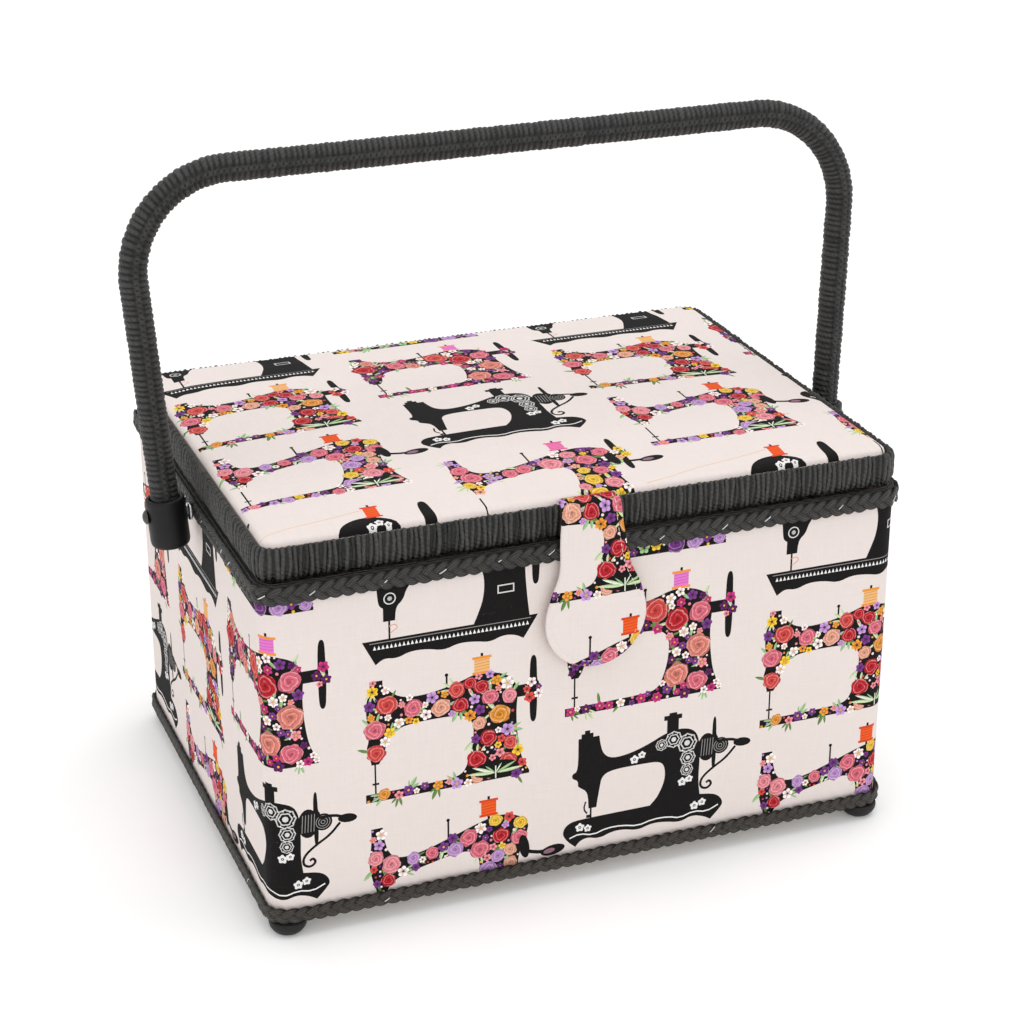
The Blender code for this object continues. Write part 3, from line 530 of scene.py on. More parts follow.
def sharpen(obj, degrees=35.0):
    """Edges sharper than this shade as corners."""
    bm = bmesh.new()
    bm.from_mesh(obj.data)
    limit = math.radians(degrees)
    for e in bm.edges:
        e.smooth = len(e.link_faces) != 2 or e.calc_face_angle(0.0) < limit
    for f in bm.faces:
        f.smooth = True
    bm.to_mesh(obj.data)
    bm.free()
    return obj


def track(hx, hy, r):
    """A rounded rectangle's outline: its length, and a function from distance along it to (x, y, normal x, normal y). It starts at the front's left end and runs to the right."""
    a, b, q = 2 * (hx - r), 2 * (hy - r), math.pi * r / 2
    total = 2 * (a + b) + 4 * q
    cuts = np.cumsum([0, a, q, b, q, a, q, b, q])

    def at(s):
        s = np.mod(np.asarray(s, float), total)
        s = np.where(s >= cuts[-1] - 1e-9, 0.0, s)
        x, y, nx, ny = (np.zeros_like(s) for _ in range(4))
        flats = [(0, (-hx + r, -hy), (1, 0), (0, -1)), (2, (hx, -hy + r), (0, 1), (1, 0)), (4, (hx - r, hy), (-1, 0), (0, 1)), (6, (-hx, hy - r), (0, -1), (-1, 0))]
        for k, start, way, out in flats:
            m = (s >= cuts[k]) & (s <= cuts[k + 1])
            t = s[m] - cuts[k]
            x[m], y[m], nx[m], ny[m] = start[0] + way[0] * t, start[1] + way[1] * t, out[0], out[1]
        arcs = [(1, hx - r, -hy + r, -90), (3, hx - r, hy - r, 0), (5, -hx + r, hy - r, 90), (7, -hx + r, -hy + r, 180)]
        for k, cx, cy, start in arcs:
            m = (s > cuts[k]) & (s < cuts[k + 1])
            t = np.radians(start) + (s[m] - cuts[k]) / max(r, 1e-9)
            nx[m], ny[m] = np.cos(t), np.sin(t)
            x[m], y[m] = cx + r * nx[m], cy + r * ny[m]
        return x, y, nx, ny

    return total, at


def noise1(s, period, seed, octaves=3):
    """Smooth noise along a closed line, from -1 to 1 or so."""
    rng = np.random.default_rng(seed)
    out = np.zeros_like(np.asarray(s, float))
    for o in range(octaves):
        for k in range(3):
            n = max(1, int(round((2 ** o) * rng.uniform(0.6, 1.6) * period[1] / period[0])))
            out = out + np.sin(2 * np.pi * n * s / period[1] + rng.uniform(0, 6.28)) / (3 * 1.6 ** o)
    return out


# ---- materials ---------------------------------------------------------------------------
class Nodes:
    """Short names for building a node tree."""

    def __init__(self, name):
        self.material = bpy.data.materials.new(name)
        self.material.use_nodes = True
        self.tree = self.material.node_tree
        self.bsdf = self.tree.nodes["Principled BSDF"]

    def node(self, kind, **settings):
        n = self.tree.nodes.new(kind)
        for k, v in settings.items():
            setattr(n, k, v)
        return n

    def put(self, value, socket):
        if isinstance(value, bpy.types.NodeSocket):
            self.tree.links.new(value, socket)
        elif value is not None:
            socket.default_value = value

    def math(self, op, a, b=None, c=None, clamp=False):
        n = self.node("ShaderNodeMath", operation=op, use_clamp=clamp)
        for v, s in zip((a, b, c), n.inputs):
            self.put(v, s)
        return n.outputs[0]

    def add(self, a, b):
        return self.math("ADD", a, b)

    def mul(self, a, b):
        return self.math("MULTIPLY", a, b)

    def ramp(self, value, lo, hi, to_lo=0.0, to_hi=1.0, smooth=True):
        n = self.node("ShaderNodeMapRange", interpolation_type="SMOOTHSTEP" if smooth else "LINEAR")
        for v, s in zip((value, lo, hi, to_lo, to_hi), n.inputs):
            self.put(v, s)
        return n.outputs[0]

    def mix(self, factor, a, b, blend="MIX"):
        n = self.node("ShaderNodeMix", data_type="RGBA", blend_type=blend)
        self.put(factor, n.inputs[0])
        self.put(a, n.inputs[6])
        self.put(b, n.inputs[7])
        return n.outputs[2]

    def fmix(self, factor, a, b):
        n = self.node("ShaderNodeMix", data_type="FLOAT")
        self.put(factor, n.inputs[0])
        self.put(a, n.inputs[2])
        self.put(b, n.inputs[3])
        return n.outputs[0]

    def scale_colour(self, colour, value):
        n = self.node("ShaderNodeVectorMath", operation="SCALE")
        self.put(colour[:3] if isinstance(colour, tuple) else colour, n.inputs[0])
        self.put(value, n.inputs[3])
        return n.outputs[0]

    def attribute(self, name):
        return self.node("ShaderNodeAttribute", attribute_name=name)

    def uv(self, name="cloth"):
        return self.node("ShaderNodeUVMap", uv_map=name).outputs[0]

    def place(self):
        return self.node("ShaderNodeTexCoord").outputs["Object"]

    def mapped(self, vector, scale=(1, 1, 1), turn=(0, 0, 0)):
        n = self.node("ShaderNodeMapping")
        self.put(vector, n.inputs[0])
        n.inputs[2].default_value = turn
        n.inputs[3].default_value = scale
        return n.outputs[0]

    def split(self, vector):
        n = self.node("ShaderNodeSeparateXYZ")
        self.put(vector, n.inputs[0])
        return n.outputs

    def noise(self, vector, scale, detail=3.0, rough=0.55):
        n = self.node("ShaderNodeTexNoise")
        self.put(vector, n.inputs["Vector"])
        n.inputs["Scale"].default_value = scale
        n.inputs["Detail"].default_value = detail
        n.inputs["Roughness"].default_value = rough
        return n.outputs["Fac"]

    def voronoi(self, vector, scale, feature="F1"):
        n = self.node("ShaderNodeTexVoronoi", feature=feature)
        self.put(vector, n.inputs["Vector"])
        n.inputs["Scale"].default_value = scale
        return n.outputs["Distance"]

    def bump(self, height, distance, strength=1.0, normal=None):
        n = self.node("ShaderNodeBump")
        n.inputs["Strength"].default_value = strength
        n.inputs["Distance"].default_value = distance
        self.put(height, n.inputs["Height"])
        if normal is not None:
            self.put(normal, n.inputs["Normal"])
        return n.outputs[0]

    def set(self, **sockets):
        names = {
            "colour": "Base Color", "rough": "Roughness", "metal": "Metallic", "normal": "Normal", "sheen": "Sheen Weight",
            "sheen_rough": "Sheen Roughness", "specular": "Specular IOR Level", "coat": "Coat Weight", "coat_rough": "Coat Roughness",
        }
        for k, v in sockets.items():
            self.put(v, self.bsdf.inputs[names[k]])
        return self.material


def weave(n, uv, pitch=0.62):
    """Height of a plain weave, with slubs, in the cloth's own mm."""
    x, y, _z = n.split(uv)
    k = 2 * math.pi / pitch
    wobble = n.noise(uv, 0.5, 2.0)
    u = n.math("SINE", n.add(n.mul(x, k), n.mul(wobble, 2.5)))
    v = n.math("SINE", n.add(n.mul(y, k), n.mul(wobble, 3.5)))
    cells = n.mul(u, v)
    return cells


def print_material(name, paper, rough=0.86):
    n = Nodes(name)
    uv = n.uv("cloth")
    ink = n.attribute("ink")
    spot = n.attribute("motif")
    x, y, z = n.split(spot.outputs["Vector"])
    kind = n.math("FLOOR", z)
    seed = n.math("FRACT", z)
    r = n.math("SQRT", n.add(n.mul(x, x), n.mul(y, y)))
    angle = n.math("ARCTAN2", y, x)
    # petals of a rose: layers wound round its middle, each dark below and pale along its lip
    ruffle = n.noise(n.mapped(spot.outputs["Vector"], (1.0, 1.0, 9.0)), 2.3, 3.0, 0.6)
    wander = n.add(n.mul(n.math("SINE", n.add(n.mul(angle, 3.0), n.mul(seed, 9.0))), 0.05), n.mul(n.add(ruffle, -0.5), 0.42))
    winding_ = n.add(n.mul(n.add(r, wander), 2.7), n.mul(angle, 1 / 6.2832))
    layer = n.math("FRACT", winding_)
    turn_ = n.math("FLOOR", winding_)
    rose_v = n.mul(n.ramp(layer, 0.0, 0.30, 0.50, 0.84), n.ramp(layer, 0.35, 0.95, 1.0, 1.36))
    split_ = n.math("ABSOLUTE", n.math("SINE", n.add(n.mul(angle, 2.5), n.add(n.mul(turn_, 1.9), n.mul(seed, 9.0)))))
    rose_v = n.mul(rose_v, n.ramp(split_, 0.0, 0.22, 0.74, 1.0))
    edge_v = n.ramp(r, 0.70, 1.0, 1.06, 0.86)
    eye = n.ramp(r, 0.02, 0.34, 0.52, 1.0)
    rose_v = n.mul(n.mul(rose_v, edge_v), eye)
    # a small open flower
    spokes = n.math("ABSOLUTE", n.math("COSINE", n.mul(angle, 2.5)))
    open_v = n.mul(n.ramp(spokes, 0.05, 0.50, 0.52, 1.06), n.ramp(r, 0.18, 0.80, 0.70, 1.16))
    # a leaf: its midrib and one darker side
    rib = n.ramp(n.math("ABSOLUTE", y), 0.0, 0.05, 1.22, 0.98)
    side = n.ramp(y, -0.04, 0.04, 0.80, 1.04)
    leaf_v = n.mul(rib, side)
    is_rose = n.math("COMPARE", kind, 1.0, 0.1)
    is_open = n.math("COMPARE", kind, 2.0, 0.1)
    is_leaf = n.math("COMPARE", kind, 3.0, 0.1)
    value = n.fmix(is_rose, 1.0, rose_v)
    value = n.fmix(is_open, value, open_v)
    value = n.fmix(is_leaf, value, leaf_v)
    wash = n.noise(uv, 0.55, 4.0, 0.6)
    fine = n.noise(uv, 2.2, 3.0, 0.6)
    painted = n.math("MINIMUM", kind, 1.0)
    wash_v = n.add(n.mul(n.add(wash, n.mul(fine, 0.6)), n.mul(painted, 0.62)), n.add(1.0, n.mul(painted, -0.49)))
    value = n.mul(value, wash_v)
    colour = n.scale_colour(ink.outputs["Color"], value)
    # the eye of an open flower is yellow or dark
    eye_colour = n.mix(n.math("GREATER_THAN", seed, 0.5), rgba((226, 176, 70)), rgba((70, 40, 46)))
    eye_on = n.mul(is_open, n.ramp(r, 0.17, 0.25, 1.0, 0.0))
    colour = n.mix(eye_on, colour, eye_colour)
    pale_tip = n.mul(n.mul(is_rose, n.ramp(r, 0.20, 0.8, 0.0, 0.34)), n.ramp(layer, 0.62, 0.96, 0.0, 1.0))
    colour = n.mix(pale_tip, colour, rgba((250, 232, 226)))
    # the cloth itself
    cells = weave(n, uv)
    slub_u = n.noise(n.mapped(uv, (0.07, 1.6, 1.0)), 1.0, 3.0)
    slub_v = n.noise(n.mapped(uv, (1.6, 0.07, 1.0)), 1.0, 3.0)
    slub = n.add(slub_u, slub_v)
    mottle = n.noise(uv, 0.012, 2.0)
    shade = n.add(n.mul(cells, 0.012), n.add(n.mul(slub, 0.10), n.mul(mottle, 0.03)))
    shade = n.add(shade, 1.0 - 0.10 - 0.015)
    cloth = n.scale_colour(rgba(paper), shade)
    covered = ink.outputs["Alpha"]
    worn = n.ramp(n.add(slub, n.mul(cells, 0.05)), 1.22, 1.6, 0.0, 0.22)
    ink_cover = n.mul(covered, n.math("SUBTRACT", 1.0, worn, clamp=True))
    colour = n.mix(ink_cover, cloth, n.scale_colour(colour, n.add(n.mul(cells, 0.03), 1.0)))
    height = n.add(n.mul(cells, 0.5), n.mul(slub, 1.6))
    bump = n.bump(height, 0.00007, 0.8)
    rough_v = n.ramp(slub, 0.6, 1.5, rough - 0.04, rough + 0.06)
    return n.set(colour=colour, rough=rough_v, normal=bump, sheen=0.02, sheen_rough=0.5, specular=0.12)


def cord_material(name, base, stray, along, strength=1.0):
    """Twisted paper cord: creased fibres along each strand, uneven dye, painted shade in the valleys between strands
    and across the twist's ridges, a dull gloss on their backs.
    """
    n = Nodes(name)
    uv = n.uv("cloth")
    groove = n.attribute("groove").outputs["Fac"]
    x, y, _z = n.split(uv)
    if along:  # strands run with the second coordinate, straight, as several thin cords side by side
        twist = n.math("SINE", n.mul(x, 2 * math.pi / 1.05))
        fibres = n.noise(n.mapped(uv, (3.4, 0.55, 1.0)), 1.0, 4.0, 0.65)
    else:  # one twisted cord, its creases slanting across it
        twist = n.math("SINE", n.mul(n.add(n.mul(x, 0.5), y), 2 * math.pi / 2.1))
        fibres = n.noise(n.mapped(uv, (2.3, 0.42, 1.0), (0, 0, 0.12)), 1.0, 4.0, 0.65)
    patch = n.noise(uv, 0.11, 3.0)
    crease = n.noise(n.mapped(uv, (0.8, 0.62, 1.0), (0, 0, 0.3)), 1.0, 4.0, 0.6)
    # painted shade: the twist term makes the colour lighter and darker in step with the twist's ridges
    tone = n.add(n.add(n.mul(fibres, 0.9), n.mul(crease, 0.7)), n.add(n.mul(patch, 0.4), n.mul(twist, 0.08 * strength)))
    v = n.ramp(tone, 0.62, 1.42, 0.42, 1.85, smooth=False)
    # painted shade: the groove attribute darkens the valleys between strands nearly to black
    v = n.mul(v, n.ramp(groove, 0.22, 1.02, 0.035, 1.5))
    colour = n.scale_colour(rgba(base), v)
    odd = n.voronoi(n.mapped(uv, (0.37, 0.010, 1.0)), 1.0)
    colour = n.mix(n.ramp(odd, 0.05, 0.02, 0.0, 0.16), colour, rgba(stray))
    height = n.add(n.mul(twist, 0.25 if not along else 1.3), n.add(n.mul(fibres, 1.6), n.mul(crease, 1.3)))
    bump = n.bump(height, 0.00030, 1.0)
    return n.set(colour=colour, rough=n.ramp(fibres, 0.3, 0.7, 0.40, 0.62), normal=bump, specular=0.50)


def plastic_material(name, base, rough=0.42, grain=0.00003, coat=0.0, even=0.0):
    n = Nodes(name)
    p = n.place()
    grains = n.noise(p, 900.0, 3.0)
    broad = n.noise(p, 60.0, 3.0)
    marks = n.noise(n.mapped(p, (60, 60, 900)), 1.0, 3.0)
    colour = n.scale_colour(rgba(base), n.ramp(n.add(broad, n.mul(marks, 0.3)), 0.4, 0.9, 0.88 + 0.10 * even, 1.16 - 0.14 * even, smooth=False))
    return n.set(
        colour=colour, rough=n.ramp(n.add(grains, broad), 0.7, 1.3, rough - 0.06, rough + 0.10), normal=n.bump(grains, grain, 0.6),
        specular=0.32, coat=coat, coat_rough=0.3,
    )


def metal_material(name, base, rough=0.28):
    n = Nodes(name)
    p = n.place()
    streak = n.noise(n.mapped(p, (40, 900, 900)), 1.0, 4.0)
    spots = n.noise(p, 130.0, 4.0, 0.65)
    colour = n.scale_colour(rgba(base), n.ramp(spots, 0.3, 0.75, 0.84, 1.06))
    return n.set(colour=colour, metal=1.0, rough=n.ramp(n.add(streak, spots), 0.7, 1.3, rough - 0.08, rough + 0.14), normal=n.bump(streak, 0.00002, 0.5))


def satin_material(name, base, rough=0.42, dots=None):
    """Lining satin: fine warp lines, a soft gloss, a scatter of tiny printed dots if wanted."""
    n = Nodes(name)
    p = n.place()
    warp = n.noise(n.mapped(p, (2600, 120, 2600)), 1.0, 2.0)
    weft = n.noise(n.mapped(p, (160, 2200, 160)), 1.0, 2.0)
    broad = n.noise(p, 22.0, 3.0)
    tone = n.add(n.mul(warp, 0.5), n.add(n.mul(weft, 0.35), n.mul(broad, 0.5)))
    colour = n.scale_colour(rgba(base), n.ramp(tone, 0.4, 0.95, 0.90, 1.07, smooth=False))
    if dots:
        d = n.voronoi(n.mapped(p, (130, 130, 130)), 1.0)
        colour = n.mix(n.ramp(d, 0.10, 0.07, 0.0, 0.8), colour, rgba(dots))
    return n.set(colour=colour, rough=n.ramp(warp, 0.3, 0.7, rough - 0.07, rough + 0.12), normal=n.bump(n.add(warp, weft), 0.00006, 0.5), sheen=0.25, sheen_rough=0.4, specular=0.4)


def velvet_material(name, base, edge):
    n = Nodes(name)
    p = n.place()
    pile = n.noise(p, 1500.0, 2.0, 0.7)
    nap = n.noise(n.mapped(p, (70, 120, 70)), 1.0, 4.0, 0.6)
    colour = n.mix(n.ramp(n.add(nap, n.mul(pile, 0.4)), 0.35, 1.25, 0.0, 1.0), rgba(base), rgba(edge))
    return n.set(colour=colour, rough=n.ramp(pile, 0.3, 0.7, 0.78, 0.95), normal=n.bump(n.add(pile, nap), 0.0002, 0.6), sheen=0.7, sheen_rough=0.35, specular=0.15)


def board_material(name, base):
    n = Nodes(name)
    p = n.place()
    fibre = n.noise(n.mapped(p, (90, 300, 90)), 1.0, 5.0, 0.65)
    flecks = n.voronoi(p, 420.0)
    colour = n.scale_colour(rgba(base), n.ramp(n.add(fibre, n.mul(flecks, 0.3)), 0.35, 0.85, 0.80, 1.15, smooth=False))
    return n.set(colour=colour, rough=n.ramp(fibre, 0.3, 0.7, 0.84, 0.96), normal=n.bump(fibre, 0.0001, 0.7), specular=0.2)


def wood_material(name, base, dark):
    n = Nodes(name)
    p = n.mapped(n.place(), (6.0, 130.0, 130.0))
    grain = n.noise(p, 1.0, 5.0, 0.6)
    pores = n.noise(n.mapped(n.place(), (50, 1500, 1500)), 1.0, 3.0)
    colour = n.mix(n.ramp(grain, 0.36, 0.64), rgba(dark), rgba(base))
    colour = n.scale_colour(colour, n.ramp(pores, 0.3, 0.7, 0.88, 1.08))
    return n.set(colour=colour, rough=n.ramp(pores, 0.3, 0.7, 0.50, 0.68), normal=n.bump(n.add(grain, pores), 0.00006, 0.6), specular=0.35)


def foam_material(name, base):
    n = Nodes(name)
    cells = n.voronoi(n.place(), 900.0)
    colour = n.scale_colour(rgba(base), n.ramp(cells, 0.1, 0.7, 0.8, 1.05))
    return n.set(colour=colour, rough=n.ramp(cells, 0.1, 0.7, 0.88, 0.98), normal=n.bump(cells, 0.0002, 0.7), specular=0.1)


M_PRINT = print_material("printed_cotton", (232, 221, 216))
M_CORD = cord_material("paper_cord", (47, 46, 44), (150, 120, 70), False)
M_WRAP = cord_material("handle_cord", (40, 39, 38), (120, 98, 62), False)
M_TRIM = cord_material("bottom_cord", (54, 49, 44), (128, 106, 78), True, 3.0)
M_BRAID = cord_material("braided_cord", (48, 47, 44), (110, 92, 64), True, 3.0)
M_PLASTIC = plastic_material("black_plastic", (13, 13, 14), 0.48)
M_FOOT = plastic_material("foot_plastic", (26, 25, 24), 0.55)
M_STEEL = metal_material("bright_steel", (206, 206, 208), 0.24)
M_DARKSTEEL = metal_material("hinge_steel", (168, 166, 162), 0.34)
M_GUNMETAL = metal_material("gunmetal_rivet", (92, 90, 88), 0.38)
M_SATIN = satin_material("lining_satin", (232, 214, 210))
M_TRAY = plastic_material("tray_plastic", (230, 224, 222), 0.32, 0.00001, 0.25, even=1.0)
M_VELVET = velvet_material("pincushion_velvet", (120, 26, 44), (178, 60, 78))
M_BOARD = board_material("grey_board", (158, 148, 136))
M_WOOD = wood_material("ledge_wood", (214, 178, 132), (176, 134, 88))
M_FOAM = foam_material("foam", (236, 232, 214))
M_THREAD = satin_material("sewing_thread", (238, 228, 220), 0.55)

for node, material in (
    ("wall_board", M_BOARD), ("base_board", M_BOARD), ("lid_board", M_BOARD), ("lid_foam", M_FOAM), ("catch_plate", M_STEEL), ("flap_magnet", M_STEEL),
    ("handle_core", M_STEEL), ("tray_left", M_TRAY), ("tray_right", M_TRAY), ("tray_ledge_front", M_WOOD), ("tray_ledge_rear", M_WOOD),
    ("foot_screw_front_left", M_STEEL), ("foot_screw_front_right", M_STEEL), ("foot_screw_rear_left", M_STEEL), ("foot_screw_rear_right", M_STEEL),
    ("hinge_left_box_leaf", M_DARKSTEEL), ("hinge_left_lid_leaf", M_DARKSTEEL), ("hinge_left_pin", M_STEEL),
    ("hinge_right_box_leaf", M_DARKSTEEL), ("hinge_right_lid_leaf", M_DARKSTEEL), ("hinge_right_pin", M_STEEL),
    ("pivot_washer_left", M_STEEL), ("pivot_washer_right", M_STEEL),
):
    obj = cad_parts[node]
    if not obj.material_slots:
        obj.data.materials.append(material)
    for s in obj.material_slots:
        s.material = material


# ---- printed cloth: one mesh that holds the outline of every printed shape ----------------
def split_edges(poly, step):
    out = []
    for a, b in zip(poly, np.roll(poly, -1, 0)):
        n = max(1, int(math.ceil(np.hypot(*(b - a)) / step)))
        for k in range(n):
            out.append(a + (b - a) * k / n)
    return np.array(out)


def winding(poly, p):
    """How many times a closed outline goes round each point."""
    a, b = poly, np.roll(poly, -1, 0)
    up = (a[None, :, 1] <= p[:, 1, None]) & (b[None, :, 1] > p[:, 1, None])
    down = (a[None, :, 1] > p[:, 1, None]) & (b[None, :, 1] <= p[:, 1, None])
    side = (b[:, 0] - a[:, 0])[None] * (p[:, 1, None] - a[None, :, 1]) - (p[:, 0, None] - a[None, :, 0]) * (b[:, 1] - a[:, 1])[None]
    return np.sum(up & (side > 0), 1) - np.sum(down & (side < 0), 1)


def printed_plane(outline, shapes, grid, step=2.6):
    """Flat triangles whose edges follow the outline and every shape on it: points, triangles, and the shape on top of each, or -1."""
    verts = [Vector((float(x), float(y))) for x, y in outline]
    edges = [(k, (k + 1) % len(outline)) for k in range(len(outline))]
    lo, hi = outline.min(0), outline.max(0)
    used = []
    for i, s in enumerate(shapes):
        p = s["poly"]
        if p[:, 0].max() < lo[0] or p[:, 0].min() > hi[0] or p[:, 1].max() < lo[1] or p[:, 1].min() > hi[1]:
            continue
        p = split_edges(p, step)
        start, count = len(verts), len(p)
        verts += [Vector((float(x), float(y))) for x, y in p]
        edges += [(start + k, start + (k + 1) % count) for k in range(count)]
        used.append(i)
    verts += [Vector((float(x), float(y))) for x, y in grid]
    v, _e, f, _ov, _oe, _of = delaunay_2d_cdt(verts, edges, [], 0, 1e-4, False)
    points = np.array([(p.x, p.y) for p in v])
    tris = np.array(f)
    p = points[tris]
    area = np.cross(p[:, 1] - p[:, 0], p[:, 2] - p[:, 0])
    tris[area < -1e-7] = tris[area < -1e-7][:, ::-1]
    middle = points[tris].mean(1)
    keep = winding(np.asarray(outline), middle) != 0
    tris, middle = tris[keep], middle[keep]
    order = np.argsort(middle[:, 0])
    xs = middle[order, 0]
    tops = np.full(len(tris), -1)
    for i in used:
        poly = shapes[i]["poly"]
        a, b = poly.min(0), poly.max(0)
        near = order[np.searchsorted(xs, a[0]):np.searchsorted(xs, b[0])]
        near = near[(middle[near, 1] > a[1]) & (middle[near, 1] < b[1])]
        if len(near):
            tops[near[winding(poly, middle[near]) != 0]] = i
    kept, index = np.unique(tris, return_inverse=True)
    return points[kept], index.reshape(tris.shape), tops


def ink_layers(mesh, points, tris, tops, shapes, extra=0, plain=PAPER):
    """Writes the ink colour and each flower's own coordinates to the corners of the first triangles."""
    n = len(tris)
    colour = np.ones((n + extra, 3, 4), np.float32)
    colour[..., :3] = srgb(plain)
    colour[..., 3] = 0.0
    motif = np.zeros((n + extra, 3, 3), np.float32)
    if shapes:
        table = np.array([[*srgb(s["colour"]), *s["at"], s["size"], s["turn"], s["kind"], s["seed"]] for s in shapes])
        on = np.nonzero(tops >= 0)[0]
        t = table[tops[on]]
        colour[on, :, :3] = t[:, None, 0:3]
        colour[on, :, 3] = 1.0
        d = (points[tris[on]] - t[:, None, 3:5]) / t[:, None, 5:6]
        c, s = np.cos(t[:, 6])[:, None], np.sin(t[:, 6])[:, None]
        motif[on, :, 0] = d[..., 0] * c + d[..., 1] * s
        motif[on, :, 1] = -d[..., 0] * s + d[..., 1] * c
        motif[on, :, 2] = (t[:, 7] + np.where(t[:, 7] > 0, 0.05 + 0.85 * t[:, 8], 0.0))[:, None]
    a = mesh.attributes.new("ink", "FLOAT_COLOR", "CORNER")
    a.data.foreach_set("color", colour.ravel())
    b = mesh.attributes.new("motif", "FLOAT_VECTOR", "CORNER")
    b.data.foreach_set("vector", motif.ravel())


def raw_mesh(name, points3, tris, material, uv=None, normals=None):
    """A triangle mesh in mm with the cloth's own coordinates per corner."""
    mesh = bpy.data.meshes.new(name)
    mesh.vertices.add(len(points3))
    mesh.vertices.foreach_set("co", (np.asarray(points3) * MM).astype(np.float32).ravel())
    mesh.loops.add(len(tris) * 3)
    mesh.loops.foreach_set("vertex_index", np.asarray(tris).astype(np.int32).ravel())
    mesh.polygons.add(len(tris))
    mesh.polygons.foreach_set("loop_start", np.arange(0, len(tris) * 3, 3, dtype=np.int32))
    mesh.polygons.foreach_set("use_smooth", np.ones(len(tris), bool))
    mesh.update(calc_edges=True)
    if uv is not None:
        mesh.uv_layers.new(name="cloth").data.foreach_set("uv", np.asarray(uv)[np.asarray(tris)].astype(np.float32).ravel())
    mesh.materials.append(material)
    if normals is not None:
        mesh.normals_split_custom_set_from_vertices([tuple(v) for v in normals])
    obj = bpy.data.objects.new(name, mesh)
    COLL.objects.link(obj)
    return obj


MOTIFS = motifs()
REPEAT = 197.0
# each column of the print: (x of its motifs, [(motif, height of its base)]), in the print's own mm
COLUMN_A = [("table", 69.0), ("bouquet", 0.0), ("sloped", -75.0), ("spooled", -165.5), ("posy", 143.0)]
COLUMN_B = [("violet", 25.5), ("crank", -45.5), ("meadow", -121.0), ("posy", 101.0), ("table", 172.0)]


def laid_print(x_left, x_right, base_x, base_y, column_b_x=96.5):
    """Every printed shape between two edges, for a print whose bouquet stands at (base_x, base_y)."""
    out = []
    first = int(math.floor((x_left - base_x) / REPEAT)) - 1
    last = int(math.ceil((x_right - base_x) / REPEAT)) + 1
    for k in range(first, last + 1):
        for name, dy in COLUMN_A:
            out += moved(MOTIFS[name], base_x + k * REPEAT - (8.5 if name == "spooled" else 0.0), base_y + dy)
        for name, dy in COLUMN_B:
            out += moved(MOTIFS[name], base_x + column_b_x + k * REPEAT, base_y + dy)
    return out



# ---- body fabric -------------------------------------------------------------------------
_lo, _hi = mm_box("outer_cover")
BX, BY, BR = float(_hi[0]), float(_hi[1]), 10.0
BODY_Z0, BODY_Z1 = float(_lo[2]), float(_hi[2])
BODY_LEN, body_at = track(BX, BY, BR)
FLAT_A, ARC = 2 * (BX - BR), math.pi * BR / 2
SEAM = 1.5 * FLAT_A + 2 * ARC + 2 * (BY - BR)  # the join in the cloth, in the middle of the back


def body_fabric():
    s0, s1 = SEAM - BODY_LEN, SEAM
    zs = np.linspace(BODY_Z0, BODY_Z1, 27)
    cuts = np.cumsum([0, FLAT_A, ARC, 2 * (BY - BR), ARC, FLAT_A, ARC, 2 * (BY - BR), ARC])
    columns = []
    for k in range(8):
        a, b = cuts[k], cuts[k + 1]
        n = 9 if k % 2 else max(2, int(round((b - a) / 6.5)))
        columns += list(np.linspace(a, b, n, endpoint=False))
    columns = np.array(sorted((c if c < s1 else c - BODY_LEN) for c in columns if s0 + 1 < (c if c < s1 else c - BODY_LEN) < s1 - 1))
    grid = np.stack(np.meshgrid(columns, zs[1:-1], indexing="ij"), -1).reshape(-1, 2)
    rng = np.random.default_rng(5)
    grid = grid + rng.uniform(-0.02, 0.02, grid.shape)
    edge_s = np.concatenate([[s0], columns, [s1]])
    outline = np.concatenate([
        np.stack([edge_s, np.full(len(edge_s), BODY_Z0)], 1),
        np.stack([np.full(25, s1), zs[1:-1]], 1),
        np.stack([edge_s[::-1], np.full(len(edge_s), BODY_Z1)], 1),
        np.stack([np.full(25, s0), zs[1:-1][::-1]], 1),
    ])
    shapes = laid_print(s0 - 5, s1 + 5, -110.0 + (BX - BR), 62.0)
    points, tris, tops = printed_plane(outline, shapes, grid, 1.9)
    x, y, nx, ny = body_at(points[:, 0])
    # the cloth is drawn over board: it lies flat, with a very slight softness between the braids
    soft = 0.10 * np.sin(points[:, 0] / 31.0 + 1.3) * np.sin(points[:, 1] / 23.0) + 0.05 * np.sin(points[:, 0] / 9.0) * np.sin(points[:, 1] / 14.0 + 2)
    soft = (soft - 0.12) * np.clip(np.minimum(points[:, 1] - BODY_Z0, BODY_Z1 - points[:, 1]) / 12.0, 0, 1)
    outer = np.stack([x + nx * soft, y + ny * soft, points[:, 1]], 1)
    # normals point straight out from the wall
    normals = np.stack([nx, ny, np.zeros_like(nx)], 1)
    obj = raw_mesh("body_fabric", outer, tris, M_PRINT, uv=points, normals=normals)
    ink_layers(obj.data, points, tris, tops, shapes)
    return obj


BODY = body_fabric()
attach(BODY, "body")
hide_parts("outer_cover")

# ---- lid: padded cover -------------------------------------------------------------------
_lo, _hi = mm_box("lid_cover")
PX, PY, PR = float(_hi[0]), float(_hi[1]), 6.2
PAD_Z0, PAD_TOP = float(_lo[2]), float(_hi[2])


def border_distance(p, hx, hy, r):
    """How far inside a rounded rectangle each point lies."""
    q = np.abs(p) - np.array([hx - r, hy - r])
    outside = np.linalg.norm(np.maximum(q, 0), axis=1)
    return r - outside - np.minimum(np.max(q, axis=1), 0.0)


